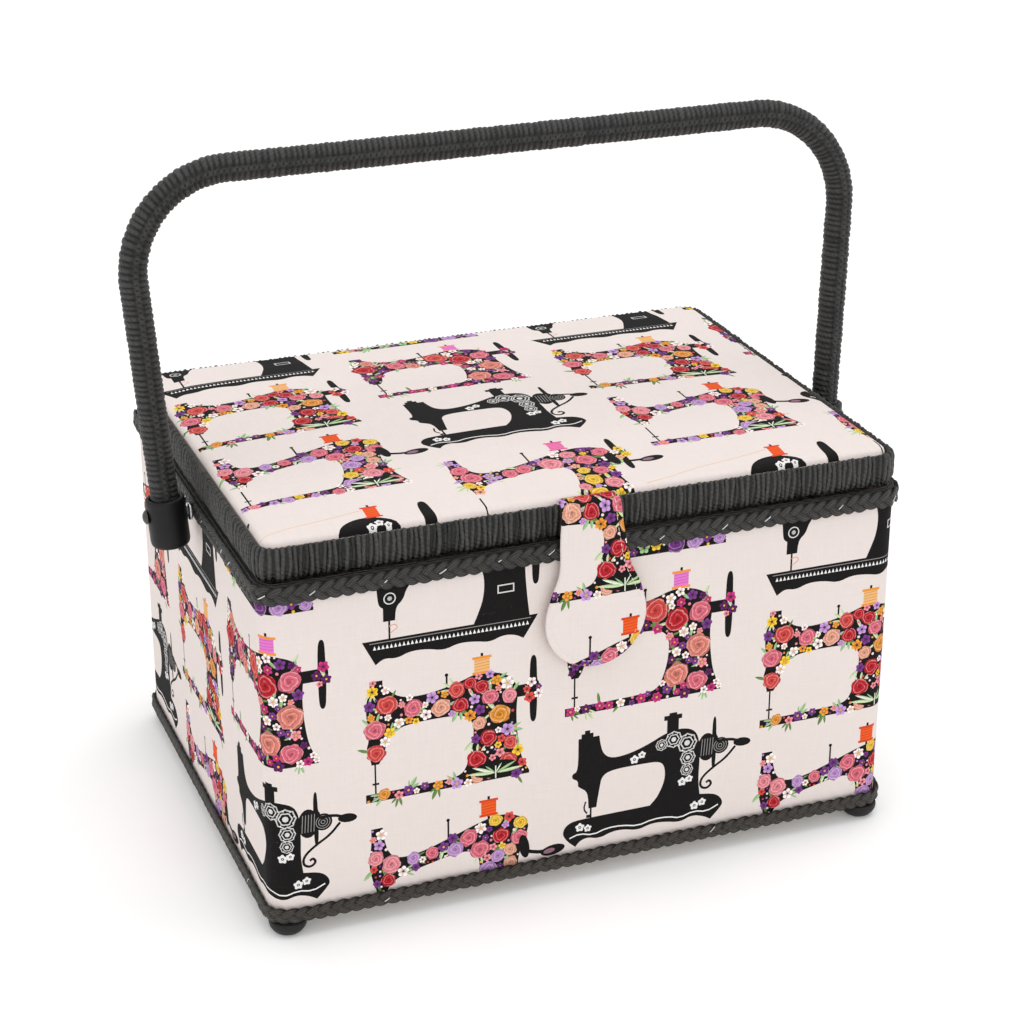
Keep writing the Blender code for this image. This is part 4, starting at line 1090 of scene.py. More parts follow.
def puffed_heights(name, hx, hy, r, z0, thickness, voxel, pressure, cap, frames=20):
    """Blows up a thin pad with cloth pressure, its rim held, and returns its upper side as a height function."""
    bm = bmesh.new()
    bmesh.ops.create_cube(bm, size=1.0)
    bmesh.ops.scale(bm, vec=(2 * hx * MM, 2 * hy * MM, thickness * MM), verts=bm.verts)
    upright = [e for e in bm.edges if abs(e.verts[0].co.z - e.verts[1].co.z) > 1e-6]
    bmesh.ops.bevel(bm, geom=upright, offset=r * MM, segments=4, profile=0.5, affect="EDGES")
    bmesh.ops.translate(bm, vec=(0, 0, (z0 + thickness / 2) * MM), verts=bm.verts)
    mesh = bpy.data.meshes.new(name)
    bm.to_mesh(mesh)
    bm.free()
    obj = bpy.data.objects.new(name, mesh)
    COLL.objects.link(obj)
    remesh = obj.modifiers.new("remesh", "REMESH")
    remesh.mode = "VOXEL"
    remesh.voxel_size = voxel * MM
    depsgraph = bpy.context.evaluated_depsgraph_get()
    fine = bpy.data.meshes.new_from_object(obj.evaluated_get(depsgraph))
    obj.modifiers.clear()
    obj.data = fine
    group = obj.vertex_groups.new(name="held")
    start = np.array([v.co for v in fine.vertices])
    side = border_distance(start[:, :2] * 1000, hx, hy, r)
    for i in np.nonzero((side < 3.0) | (start[:, 2] < (z0 + thickness * 0.45) * MM))[0]:
        group.add([int(i)], 1.0, "REPLACE")
    cloth = obj.modifiers.new("cloth", "CLOTH")
    cloth.settings.use_pressure = True
    cloth.settings.uniform_pressure_force = pressure
    cloth.settings.effector_weights.gravity = 0.0
    cloth.settings.vertex_group_mass = "held"
    cloth.settings.tension_stiffness = 12.0
    cloth.settings.quality = 5
    for frame_number in range(1, frames + 1):
        SCENE.frame_set(frame_number)
    depsgraph = bpy.context.evaluated_depsgraph_get()
    out = np.array([v.co for v in obj.evaluated_get(depsgraph).data.vertices])
    SCENE.frame_set(1)
    rise = out - start
    far = np.linalg.norm(rise, axis=1, keepdims=True)
    out = start + rise * np.minimum(1.0, cap * MM / np.maximum(far, 1e-9))
    polys = [tuple(p.vertices) for p in fine.polygons]
    tree = BVHTree.FromPolygons([tuple(p) for p in out], polys)
    bpy.data.objects.remove(obj)
    return tree


def sampled(tree, hx, hy, nx, ny):
    gx, gy = np.linspace(-hx, hx, nx), np.linspace(-hy, hy, ny)
    z = np.zeros((nx, ny))
    for i, x in enumerate(gx):
        for j, y in enumerate(gy):
            hit = tree.ray_cast(Vector((x * MM, y * MM, 1.0)), Vector((0, 0, -1)))[0]
            z[i, j] = hit.z * 1000 if hit is not None else np.nan
    z = np.where(np.isnan(z), np.nanmin(z), z)
    for _ in range(2):
        q = np.pad(z, 1, mode="edge")
        z = (q[1:-1, 1:-1] * 2 + q[:-2, 1:-1] + q[2:, 1:-1] + q[1:-1, :-2] + q[1:-1, 2:]) / 6
    return gx, gy, z


def bilinear(gx, gy, z, p):
    fx = np.clip((p[:, 0] - gx[0]) / (gx[1] - gx[0]), 0, len(gx) - 1.001)
    fy = np.clip((p[:, 1] - gy[0]) / (gy[1] - gy[0]), 0, len(gy) - 1.001)
    i, j = fx.astype(int), fy.astype(int)
    a, b = fx - i, fy - j
    return z[i, j] * (1 - a) * (1 - b) + z[i + 1, j] * a * (1 - b) + z[i, j + 1] * (1 - a) * b + z[i + 1, j + 1] * a * b


def lid_pad():
    tree = puffed_heights("lid_pad_sim", PX - 2, PY - 2, PR, PAD_Z0, 9.0, 5.0, 4.0, 6.0)
    gx, gy, z = sampled(tree, PX - 4, PY - 4, 76, 56)
    share = np.clip((z - z.min()) / max(z.max() - z.min(), 1e-6), 0, 1)
    edge = split_edges(loop2(PX, PY, PR, 8), 2.4)
    rings = []
    for d, step in ((0.5, 2.6), (1.2, 2.8), (2.2, 3.0), (3.6, 3.4), (5.4, 4.0), (7.6, 5.0)):
        rings.append(split_edges(loop2(PX - d, PY - d, max(PR - d, 1.0), 6), step))
    X, Y = np.meshgrid(np.arange(-PX + 12, PX - 11, 5.0), np.arange(-PY + 12, PY - 11, 5.0), indexing="ij")
    grid = np.concatenate(rings + [np.stack([X.ravel(), Y.ravel()], 1)])
    grid = grid + np.random.default_rng(8).uniform(-0.02, 0.02, grid.shape)
    shapes = laid_print(-PX - 5, PX + 5, 47.0, 0.5)
    points, tris, tops = printed_plane(edge, shapes, grid, 3.2)

    def height(p):
        d = border_distance(p, PX, PY, PR)
        roll = np.sqrt(np.clip(1 - (1 - np.clip(d / 4.6, 0, 1)) ** 2, 0, 1))
        soft = 0.07 * np.sin(p[:, 0] / 13.0 + p[:, 1] / 29.0) * np.sin(p[:, 1] / 11.0 + 0.7)
        crown = bilinear(gx, gy, share, p)
        return 192.3 + 3.2 * roll + (PAD_TOP - 195.5) * crown * np.clip(d / 16.0, 0.25, 1) + soft * np.clip(d / 10.0, 0, 1)

    z = height(points)
    e = 0.35
    gx_ = (height(points + (e, 0)) - height(points - (e, 0))) / (2 * e)
    gy_ = (height(points + (0, e)) - height(points - (0, e))) / (2 * e)
    normals = np.stack([-gx_, -gy_, np.ones_like(gx_)], 1)
    normals /= np.linalg.norm(normals, axis=1)[:, None]
    # the cloth turns down inside the rim and is folded under the board
    top = np.stack([points[:, 0], points[:, 1], z], 1)
    edges = np.sort(np.concatenate([tris[:, [0, 1]], tris[:, [1, 2]], tris[:, [2, 0]]]), axis=1)
    keys, uses = np.unique(edges, axis=0, return_counts=True)
    directed = {}
    once = set(map(tuple, keys[uses == 1]))
    for t in tris:
        for a, b in ((t[0], t[1]), (t[1], t[2]), (t[2], t[0])):
            if (min(a, b), max(a, b)) in once:
                directed[int(a)] = int(b)
    start = next(iter(directed))
    loop = [start]
    while directed[loop[-1]] != start:
        loop.append(directed[loop[-1]])
    lp = points[loop]
    n = len(loop)
    base = len(points)
    low = np.stack([lp[:, 0], lp[:, 1], np.full(n, PAD_Z0 + 0.1)], 1)
    under = np.stack([lp[:, 0] * 0.93, lp[:, 1] * 0.91, np.full(n, PAD_Z0 + 0.1)], 1)
    middle = np.array([[0, 0, PAD_Z0 + 0.1]])
    all_pts = np.concatenate([top, low, under, middle])
    more = []
    for k in range(n):
        k1 = (k + 1) % n
        a, b = loop[k], loop[k1]
        c, d = base + k, base + k1
        e1, f1 = base + n + k, base + n + k1
        more += [(a, c, b), (b, c, d), (c, e1, d), (d, e1, f1), (e1, base + 2 * n, f1)]
    all_tris = np.concatenate([tris, np.array(more)])
    p = all_pts[all_tris]
    uv = np.concatenate([points, lp * 1.02, lp * 0.95, [[0, 0]]])
    nn = np.concatenate([normals, np.stack([lp[:, 0] * 0, lp[:, 1] * 0, -np.ones(n)], 1), np.tile([0, 0, -1.0], (n + 1, 1))])
    obj = raw_mesh("lid_padding", all_pts, all_tris, M_PRINT, uv=uv)
    ink_layers(obj.data, points, tris, tops, shapes, extra=len(more))
    corner = np.zeros((len(all_tris), 3, 3))
    corner[: len(tris)] = normals[tris]
    face_n = np.cross(p[:, 1] - p[:, 0], p[:, 2] - p[:, 0])
    face_n /= np.maximum(np.linalg.norm(face_n, axis=1), 1e-9)[:, None]
    corner[len(tris):] = face_n[len(tris):, None]
    obj.data.normals_split_custom_set([tuple(v) for v in corner.reshape(-1, 3)])
    return obj


def loop2(hx, hy, r, seg=6):
    out = []
    for cx, cy, start in ((hx - r, hy - r, 0), (-hx + r, hy - r, 90), (-hx + r, -hy + r, 180), (hx - r, -hy + r, 270)):
        for k in range(seg + 1):
            a = math.radians(start + 90 * k / seg)
            out.append((cx + r * math.cos(a), cy + r * math.sin(a)))
    return np.array(out)


PAD = lid_pad()
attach(PAD, "lid")
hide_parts("lid_cover", "lid_foam")

# ---- lid rim: upright strands of paper cord wound round the frame --------------------------
_lo, _hi = mm_box("lid_rim")
RX, RY, RR = float(_hi[0]), float(_hi[1]), 11.0
RZ0, RZ1 = float(_lo[2]), float(_hi[2])
RIM_T = 4.5


def lid_rim():
    length, at = track(RX - RIM_T / 2, RY - RIM_T / 2, RR - RIM_T / 2)
    strands = int(round(length / 2.62))
    per = 7
    count = strands * per
    s = np.arange(count) * length / count
    # the section, from the bottom's inner corner round: (across, up), with rounded corners
    half_w, half_h = RIM_T / 2 - 0.1, (RZ1 - RZ0) / 2 - 0.1
    section = rounded([(-half_w, -half_h), (half_w, -half_h), (half_w, half_h), (-half_w, half_h)], 3)
    section = split_edges(section, 1.7)
    m = len(section)
    lead = np.roll(section, -1, 0) - np.roll(section, 1, 0)
    lead /= np.linalg.norm(lead, axis=1)[:, None]
    out_n = np.stack([lead[:, 1], -lead[:, 0]], 1)
    run = np.concatenate([[0], np.cumsum(np.linalg.norm(np.roll(section, -1, 0) - section, axis=1))])
    rng = np.random.default_rng(17)
    strand = np.arange(count) // per
    phase = (np.arange(count) % per + 0.5) / per
    fat = np.clip(rng.normal(0, 0.15, strands), -0.34, 0.24)
    shift = rng.normal(0, 0.27, strands)
    lean = rng.normal(0.10, 0.12, strands)
    grow = rng.normal(0, 0.10, strands)
    round_ = np.sqrt(np.clip(1 - (2 * phase - 1) ** 2, 0, 1))
    pts = np.zeros((count, m, 3))
    uv = np.zeros((count + 1, m + 1, 2))
    level = (section[:, 1] / half_h)[None]
    slide = shift[strand][:, None] + lean[strand][:, None] * level * 1.1 + 0.26 * np.sin(level * 2.4 + strand[:, None] * 1.7)
    soft = np.sin(np.pi * phase)
    h = (0.6 * round_ + 0.4 * soft - 1.0)[:, None] * 1.35 + fat[strand][:, None]
    h = h + 0.10 * np.sin(level * 5.0 + strand[:, None] * 2.3) + 0.09 * np.sin(level * 11.0 + strand[:, None] * 4.1)
    outer = np.clip(section[:, 0] / half_w, -1, 1)[None]
    h = np.where(outer < -0.5, h * 0.35, h)  # the inner side lies tight
    x, y, nx, ny = at(s[:, None] + slide)
    across = section[None, :, 0] + out_n[None, :, 0] * h
    up = section[None, :, 1] * (1 + 0 * h) + out_n[None, :, 1] * h + grow[strand][:, None] * 0.8
    pts[..., 0] = x + nx * across
    pts[..., 1] = y + ny * across
    pts[..., 2] = (RZ0 + RZ1) / 2 + up
    uv[..., 0] = (np.arange(count + 1) * length / count)[:, None]
    uv[..., 1] = run[None, :]
    # painted shade: each strand is darker towards its edges, and fatter strands are painted lighter
    groove = np.repeat(soft[:, None], m, 1) * (1 + 1.6 * fat[strand][:, None])
    return grid_mesh("lid_rim_winding", pts, M_CORD, wrap_u=True, wrap_v=True, uv=uv, flip=True, groove=groove)


RIM = lid_rim()
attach(RIM, "lid")
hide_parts("lid_rim")

# ---- braids: three flat strands plaited round the top and the bottom edge -------------------


def braid(name, node, seed, pitch=17.5, staples=28.0, raised=0.0):
    lo, hi = mm_box(node)
    z0, z1 = float(lo[2]) + raised * 0.4, float(hi[2]) + raised
    mid = (z0 + z1) / 2
    half_h = (z1 - z0) / 2
    depth_mid = (BX + 0.35 + float(hi[0])) / 2
    inset = float(hi[0]) - depth_mid
    length, at = track(depth_mid, float(hi[1]) - inset, 12.5 - inset)
    turns = int(round(length / pitch))
    per = 26
    count = turns * per
    s = np.arange(count) * length / count
    strands = []
    for k in range(3):
        phi = 2 * np.pi * (np.arange(count) / per + k / 3.0)
        wob = noise1(s, (60.0, length), seed + 10 * k) * 0.22
        up = (half_h - 2.05) * (0.88 if raised == 0 else 1.0) * np.sin(phi) + wob
        out = 0.52 * np.sin(2 * phi) + 0.08 * noise1(s, (35.0, length), seed + 40 + k)
        thick = 1 + 0.08 * noise1(s, (18.0, length), seed + 70 + k)
        ring = 16
        a = np.arange(ring) * 2 * np.pi / ring
        flute = 1 + 0.07 * np.cos(5 * a)
        slope = np.gradient(up, s[1] - s[0])
        pts = np.zeros((count, ring, 3))
        for j in range(ring):
            rise = 1.95 * np.sin(a[j]) * flute[j] * thick
            push = 0.80 * np.cos(a[j]) * flute[j] * thick
            tilt = np.arctan(slope)
            along = -rise * np.sin(tilt)
            x, y, nx, ny = at(s + along)
            pts[:, j, 0] = x + nx * (out + push)
            pts[:, j, 1] = y + ny * (out + push)
            pts[:, j, 2] = mid + up + rise * np.cos(tilt)
        uv = np.zeros((count + 1, ring + 1, 2))
        uv[..., 0] = np.arange(ring + 1)[None] * 10.5 / ring + 17 * k
        uv[..., 1] = (np.arange(count + 1) * length / count)[:, None]
        # a strand ends where the next one starts after one turn, so each closes on itself
        # painted shade: each strand is darker along its upper and lower edges, where it tucks under the next, and
        # darker where it lies deeper
        edge = np.clip(1.08 - np.abs(np.sin(a)) ** 4 * 0.9, 0, 1)[None] * np.clip(0.55 + 0.75 * (out[:, None] + 0.5), 0.25, 1.0)
        strands.append(grid_mesh(f"{name}_{k}", pts, M_BRAID if raised else M_TRIM, wrap_u=True, wrap_v=True, uv=uv, groove=np.repeat(edge, 1, 0)))
    if raised:
        strands += folded_lip_with_painted_gap_shade(name + "_lip", seed + 5)
    obj = join(name, strands)
    wires = []
    if staples:
        rng = np.random.default_rng(seed + 99)
        n = int(length / staples)
        for k in range(n):
            centre = (k + rng.uniform(0.2, 0.8)) * length / n
            lean = rng.uniform(0.5, 0.9)
            z = mid + rng.uniform(-1.0, 1.2)
            wires.append((centre, z, lean, rng.uniform(1.5, 2.2)))
    return obj, wires, at, inset


def folded_lip_with_painted_gap_shade(name, seed):
    """The inner strands of the top braid, which fold over the wall's cut edge; they are also dark cord laid in the
    shaded gap between the lid's rim and the braid as painted shade.
    """
    rows = []
    for k, (off, z, half_w, half_h) in enumerate(((154.9, 176.0, 1.25, 0.85), (152.9, 175.9, 1.25, 0.8))):
        length, at = track(off, off - BX + BY, 10 - (BX - off))
        n = int(length / 1.3)
        s = np.arange(n) * length / n
        wob = 0.18 * noise1(s, (14.0, length), seed + k) + 0.22 * np.sin(2 * np.pi * np.round(length / 7.7) * s / length + 2 * k)
        a = np.arange(10) * 2 * np.pi / 10
        x, y, nx, ny = at(s)
        pts = np.zeros((n, 10, 3))
        for j in range(10):
            reach = half_w * np.cos(a[j])
            pts[:, j, 0] = x + nx * reach
            pts[:, j, 1] = y + ny * reach
            pts[:, j, 2] = z + wob * 0.6 + half_h * np.sin(a[j])
        uv = np.zeros((n + 1, 11, 2))
        uv[..., 0] = np.arange(11)[None] * 0.6 + 5 * k
        uv[..., 1] = (np.arange(n + 1) * length / n)[:, None]
        # painted shade: these strands are painted darker than the braid, darkest on their inner and outer sides
        groove = np.repeat((0.45 + 0.35 * np.abs(np.sin(a)))[None], n, 0)
        rows.append(grid_mesh(f"{name}_{k}", pts, M_BRAID, wrap_u=True, wrap_v=True, uv=uv, groove=groove))
    return rows


def staple_set(name, wires, at, inset):
    """Short bright wire staples through the braid."""
    verts, faces = [], []
    ring = 8
    for centre, z, lean, half in wires:
        rows = []
        for t, sink in ((-1.0, 0.9), (-0.96, 0.1), (-0.85, -0.14), (-0.3, -0.2), (0.3, -0.2), (0.85, -0.14), (0.96, 0.1), (1.0, 0.9)):
            s = centre + half * t * math.cos(lean)
            x, y, nx, ny = (float(v[0]) for v in at(np.array([s])))
            up = half * t * math.sin(lean)
            c = np.array([x + nx * (inset - sink - 0.2), y + ny * (inset - sink - 0.2), z + up])
            side = np.array([ny * math.sin(lean), -nx * math.sin(lean), math.cos(lean)])
            out = np.array([nx, ny, 0.0])
            rows.append(len(verts))
            for j in range(ring):
                a = 2 * math.pi * j / ring
                verts.append(c + 0.22 * math.cos(a) * out + 0.34 * math.sin(a) * side)
        for r0, r1 in zip(rows, rows[1:]):
            for j in range(ring):
                j1 = (j + 1) % ring
                faces.append((r0 + j, r0 + j1, r1 + j1, r1 + j))
        faces.append(tuple(rows[0] + j for j in range(ring))[::-1])
        faces.append(tuple(rows[-1] + j for j in range(ring)))
    obj = mesh_object(name, verts, faces, M_STEEL)
    bm = bmesh.new()
    bm.from_mesh(obj.data)
    bmesh.ops.recalc_face_normals(bm, faces=bm.faces)
    bm.to_mesh(obj.data)
    bm.free()
    return obj


for _name, _node, _seed, _gap, _up in (("top_braid", "top_trim", 31, 27.0, 0.85), ("bottom_braid", "bottom_trim", 57, 150.0, 0.0)):
    _braid, _wires, _at, _inset = braid(_name, _node, _seed, staples=_gap, raised=_up)
    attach(_braid, "body")
    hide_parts(_node)
    _st = staple_set(_name + "_staples", _wires, _at, _inset)
    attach(_st, "body")

# ---- front flap --------------------------------------------------------------------------
FLAP_X, LOBE_Z, LOBE_R = -0.6, 138.8, 24.8
FLAP_Y, FLAP_ZTOP, FLAP_FRONT, BEND_Z, BEND_R = -112.4, 195.4, -120.4, 190.8, 4.6
FLAP_END = BEND_Z + math.pi / 2 * BEND_R + 3.4


def tongue_outline():
    right = [(14.2, FLAP_END), (14.2, 196.0), (14.3, 192.0), (15.1, 184.0), (16.0, 176.0), (16.6, 168.0), (17.6, 162.4), (19.6, 157.2), (22.0, 152.6)]
    lobe = []
    for k in range(49):
        a = math.radians(24 - (24 + 204) * k / 48)
        lobe.append((LOBE_R * math.cos(a), LOBE_Z + LOBE_R * math.sin(a)))
    pts = right + lobe + [(-x, z) for x, z in reversed(right)]
    line = np.array(pts, float)
    # smooth the line from the neck into the lobe
    line = split_edges(line, 0.9)
    for _ in range(10):
        q = (np.roll(line, 1, 0) + 2 * line + np.roll(line, -1, 0)) / 4
        keep = (line[:, 1] > FLAP_END - 0.6) | (line[:, 1] < LOBE_Z)
        line = np.where(keep[:, None], line, q)
    line[:, 0] += FLAP_X
    t = np.clip((line[:, 1] - 152.0) / 36.0, 0, 1)
    line[:, 0] += -2.5 * t * t * (3 - 2 * t)
    return line[::-1] if np.sum(np.cross(line, np.roll(line, -1, 0))) < 0 else line


def flap_surface(x, u, n):
    """(x, distance along the tongue, distance off its middle) to the frame, mm."""
    y = FLAP_FRONT - n
    z = u + 0 * n
    a = np.clip((u - BEND_Z) / BEND_R, 0, math.pi / 2)
    on = u > BEND_Z
    y = np.where(on, FLAP_FRONT + BEND_R - (BEND_R + n) * np.cos(a), y)
    z = np.where(on, BEND_Z + (BEND_R + n) * np.sin(a), z)
    over = u - BEND_Z - BEND_R * math.pi / 2
    y = np.where(over > 0, y + over, y)
    return np.stack([x, y, z], 1)


def outline_distance(line, p):
    out = np.full(len(p), 1e9)
    for a, b in zip(line, np.roll(line, -1, 0)):
        ab = b - a
        t = np.clip(((p - a) @ ab) / (ab @ ab), 0, 1)
        out = np.minimum(out, np.linalg.norm(p - a - t[:, None] * ab, axis=1))
    return out


def front_flap():
    line = tongue_outline()
    grid = []
    for d in (0.25, 0.6, 1.1, 1.8, 2.5, 3.0, 3.5, 4.2):
        nrm = np.roll(line, -1, 0) - np.roll(line, 1, 0)
        nrm /= np.linalg.norm(nrm, axis=1)[:, None]
        inner = line + np.stack([-nrm[:, 1], nrm[:, 0]], 1) * d
        inner = inner[:: (1 if d < 1 else 2)]
        grid.append(inner[outline_distance(line, inner) > d * 0.93])
    X, Z = np.meshgrid(np.arange(-26, 26, 1.9), np.arange(112, FLAP_END, 1.5), indexing="ij")
    free = np.stack([X.ravel(), Z.ravel()], 1)
    free = free[inside(line, free)]
    grid.append(free[outline_distance(line, free) > 4.8])
    grid = np.concatenate(grid)
    shapes = moved(MOTIFS["bouquet"], -49.6, 149.5) + moved(MOTIFS["sloped"], -43.0, 71.5) + moved(MOTIFS["table"], -54.0, 213.0)
    points, tris, tops = printed_plane(line, shapes, grid, 1.6)
    d = outline_distance(line, points)
    on_edge = d < 1e-3
    swell = np.sqrt(np.clip(1 - (1 - np.clip(d / 1.25, 0, 1)) ** 2, 0, 1))
    far_end = np.clip((points[:, 1] - (FLAP_END - 1.0)) / 1.0, 0, 1)
    stuffing = 0.30 * (1 - np.exp(-((d - 3.0) / 3.2) ** 2)) * np.clip((d - 3) / 3, 0, 1)
    groove = 0.26 * np.exp(-((d - 3.0) / 0.6) ** 2) * (points[:, 1] < 198.5)
    rr = np.hypot(points[:, 0] - FLAP_X, points[:, 1] - 135.0)
    disc_ = 0.16 * np.clip(1 - np.abs(rr - 6.3) / 1.2, 0, 1) - 0.22 * np.exp(-(rr / 1.1) ** 2)
    ripple = 0.07 * np.sin(points[:, 0] / 3.1 + points[:, 1] / 7.0) * np.sin(points[:, 1] / 5.3)
    n_front = np.where(on_edge, 0.0, 0.95 * swell + stuffing - groove + (disc_ + ripple) * np.clip(d / 3, 0, 1))
    n_back = np.where(on_edge, 0.0, -(0.95 * swell - groove * 0.5))
    front = flap_surface(points[:, 0], points[:, 1], n_front)
    back = flap_surface(points[:, 0], points[:, 1], n_back)
    count = len(points)
    remap = np.where(on_edge, np.arange(count), count + np.arange(count))
    all_pts = np.concatenate([front, back])
    back_tris = remap[tris][:, ::-1]
    all_tris = np.concatenate([tris, back_tris])
    used, index = np.unique(all_tris, return_inverse=True)
    uv = np.concatenate([points, points + (300, 0)])
    obj = raw_mesh("flap", all_pts[used], index.reshape(-1, 3), M_PRINT, uv=uv[used])
    obj.data.materials.append(M_SATIN)
    mats = np.zeros(len(all_tris), np.int32)
    mats[len(tris):] = 1
    obj.data.polygons.foreach_set("material_index", mats)
    ink_layers(obj.data, points, tris, tops, shapes, extra=len(back_tris))
    bm = bmesh.new()
    bm.from_mesh(obj.data)
    vol = bm.calc_volume(signed=True)
    bm.free()
    if vol < 0:
        obj.data.flip_normals()
    return obj, line


def stitches(name, line, at_surface, pitch, length, radius, material, lift, share=1.0):
    """Thread stitches along a line in the sheet's own plane."""
    step = np.linalg.norm(np.roll(line, -1, 0) - line, axis=1)
    total = step.sum()
    run = np.concatenate([[0], np.cumsum(step)])
    closed_line = np.concatenate([line, line[:1]])
    n = int(total / pitch)
    verts, faces = [], []
    ring = 6
    for k in range(int(n * share)):
        centre = (k + 0.5) * total / n
        rows = []
        for t, w, sink in ((-1.0, 0.25, 0.32), (-0.8, 0.9, 0.12), (-0.3, 1.0, 0.0), (0.3, 1.0, 0.0), (0.8, 0.9, 0.12), (1.0, 0.25, 0.32)):
            s = (centre + t * length / 2) % total
            px = np.interp(s, run, closed_line[:, 0])
            pz = np.interp(s, run, closed_line[:, 1])
            s2 = (s + 0.2) % total
            if s2 < s:
                s2 = s
            dx, dz_ = np.interp(s2, run, closed_line[:, 0]) - px, np.interp(s2, run, closed_line[:, 1]) - pz
            m = math.hypot(dx, dz_) or 1.0
            sx, sz = -dz_ / m, dx / m
            rows.append(len(verts))
            for j in range(ring):
                a = 2 * math.pi * j / ring
                off = radius * w * math.cos(a)
                verts.append(at_surface(np.array([px + sx * off]), np.array([pz + sz * off]), np.array([lift - sink * radius * 2 + radius * w * math.sin(a)]))[0])
        for r0, r1 in zip(rows, rows[1:]):
            for j in range(ring):
                j1 = (j + 1) % ring
                faces.append((r0 + j, r0 + j1, r1 + j1, r1 + j))
        faces.append(tuple(rows[0] + j for j in range(ring))[::-1])
        faces.append(tuple(rows[-1] + j for j in range(ring)))
    obj = mesh_object(name, verts, faces, material)
    bm = bmesh.new()
    bm.from_mesh(obj.data)
    bmesh.ops.recalc_face_normals(bm, faces=bm.faces)
    bm.to_mesh(obj.data)
    bm.free()
    return obj


FLAP, FLAP_LINE = front_flap()
_nrm = np.roll(FLAP_LINE, -1, 0) - np.roll(FLAP_LINE, 1, 0)
_nrm /= np.linalg.norm(_nrm, axis=1)[:, None]
_seam = FLAP_LINE + np.stack([-_nrm[:, 1], _nrm[:, 0]], 1) * 3.0
_seam = _seam[_seam[:, 1] < FLAP_END - 3.4]
_start = int(np.argmax(np.linalg.norm(np.roll(_seam, -1, 0) - _seam, axis=1)))
_seam = np.roll(_seam, -_start - 1, 0)


def open_stitches(name, line, **k):
    """The same on an open line: it runs there and back, and only the way there is sewn."""
    far = line[-1] + (line[-1] - line[-2])
    there = np.concatenate([line, [far]])
    back = there[::-1][1:-1]
    whole = np.concatenate([there, back])
    return stitches(name, whole, share=0.5, **k)


STITCH = open_stitches("flap_stitching", _seam, at_surface=flap_surface, pitch=2.7, length=2.0, radius=0.17, material=M_THREAD, lift=0.72)
for _o in (FLAP, STITCH):
    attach(_o, "flap")
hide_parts("front_flap")


# ---- handle ------------------------------------------------------------------------------
PIVOT_Y, PIVOT_Z = -10.8, 171.0
HX0, HX1, RISE, BEND = 169.8, 179.8, 158.4, 46.0
TILT = Matrix.Translation((0, PIVOT_Y * MM, PIVOT_Z * MM)) @ Matrix.Rotation(math.radians(-4.2), 4, "X")
TILT_MM = Matrix.Translation((0, PIVOT_Y, PIVOT_Z)) @ Matrix.Rotation(math.radians(-4.2), 4, "X")
SPLAY = math.atan2(HX1 - HX0, RISE)


def handle_line(start, step):
    """The bar's line in its own plane, every step mm: points, and the inward normal in that plane."""
    turn = math.radians(90) + SPLAY
    tangent = BEND * math.tan(turn / 2)
    corner = np.array([-HX1, RISE])
    down = np.array([HX1 - HX0, -RISE])
    down /= np.linalg.norm(down)
    first = corner + down * tangent
    centre = first + np.array([-down[1], down[0]]) * BEND
    foot = np.array([-(HX0 + (HX1 - HX0) * start / RISE), start])
    leg = np.linalg.norm(first - foot)
    arc = BEND * turn
    last = corner + np.array([1.0, 0.0]) * tangent
    bar = -2 * last[0]
    total = 2 * leg + 2 * arc + bar
    n = int(round(total / step))
    s = np.linspace(0, total, n + 1)
    half = np.minimum(s, total - s)
    p = np.zeros((n + 1, 2))
    q = np.zeros((n + 1, 2))
    arm = first - centre
    for i, t in enumerate(half):
        if t < leg:
            p[i] = foot + (first - foot) * t / leg
            q[i] = np.array([-down[1], down[0]])
        elif t < leg + arc:
            a = (t - leg) / BEND
            c, sn = math.cos(a), math.sin(a)
            v = np.array([c * arm[0] + sn * arm[1], -sn * arm[0] + c * arm[1]])
            p[i] = centre + v
            q[i] = -v / BEND
        else:
            p[i] = last + np.array([t - leg - arc, 0.0])
            q[i] = np.array([0.0, -1.0])
        if s[i] > total / 2:
            p[i, 0], q[i, 0] = -p[i, 0], -q[i, 0]
    return s, p, q


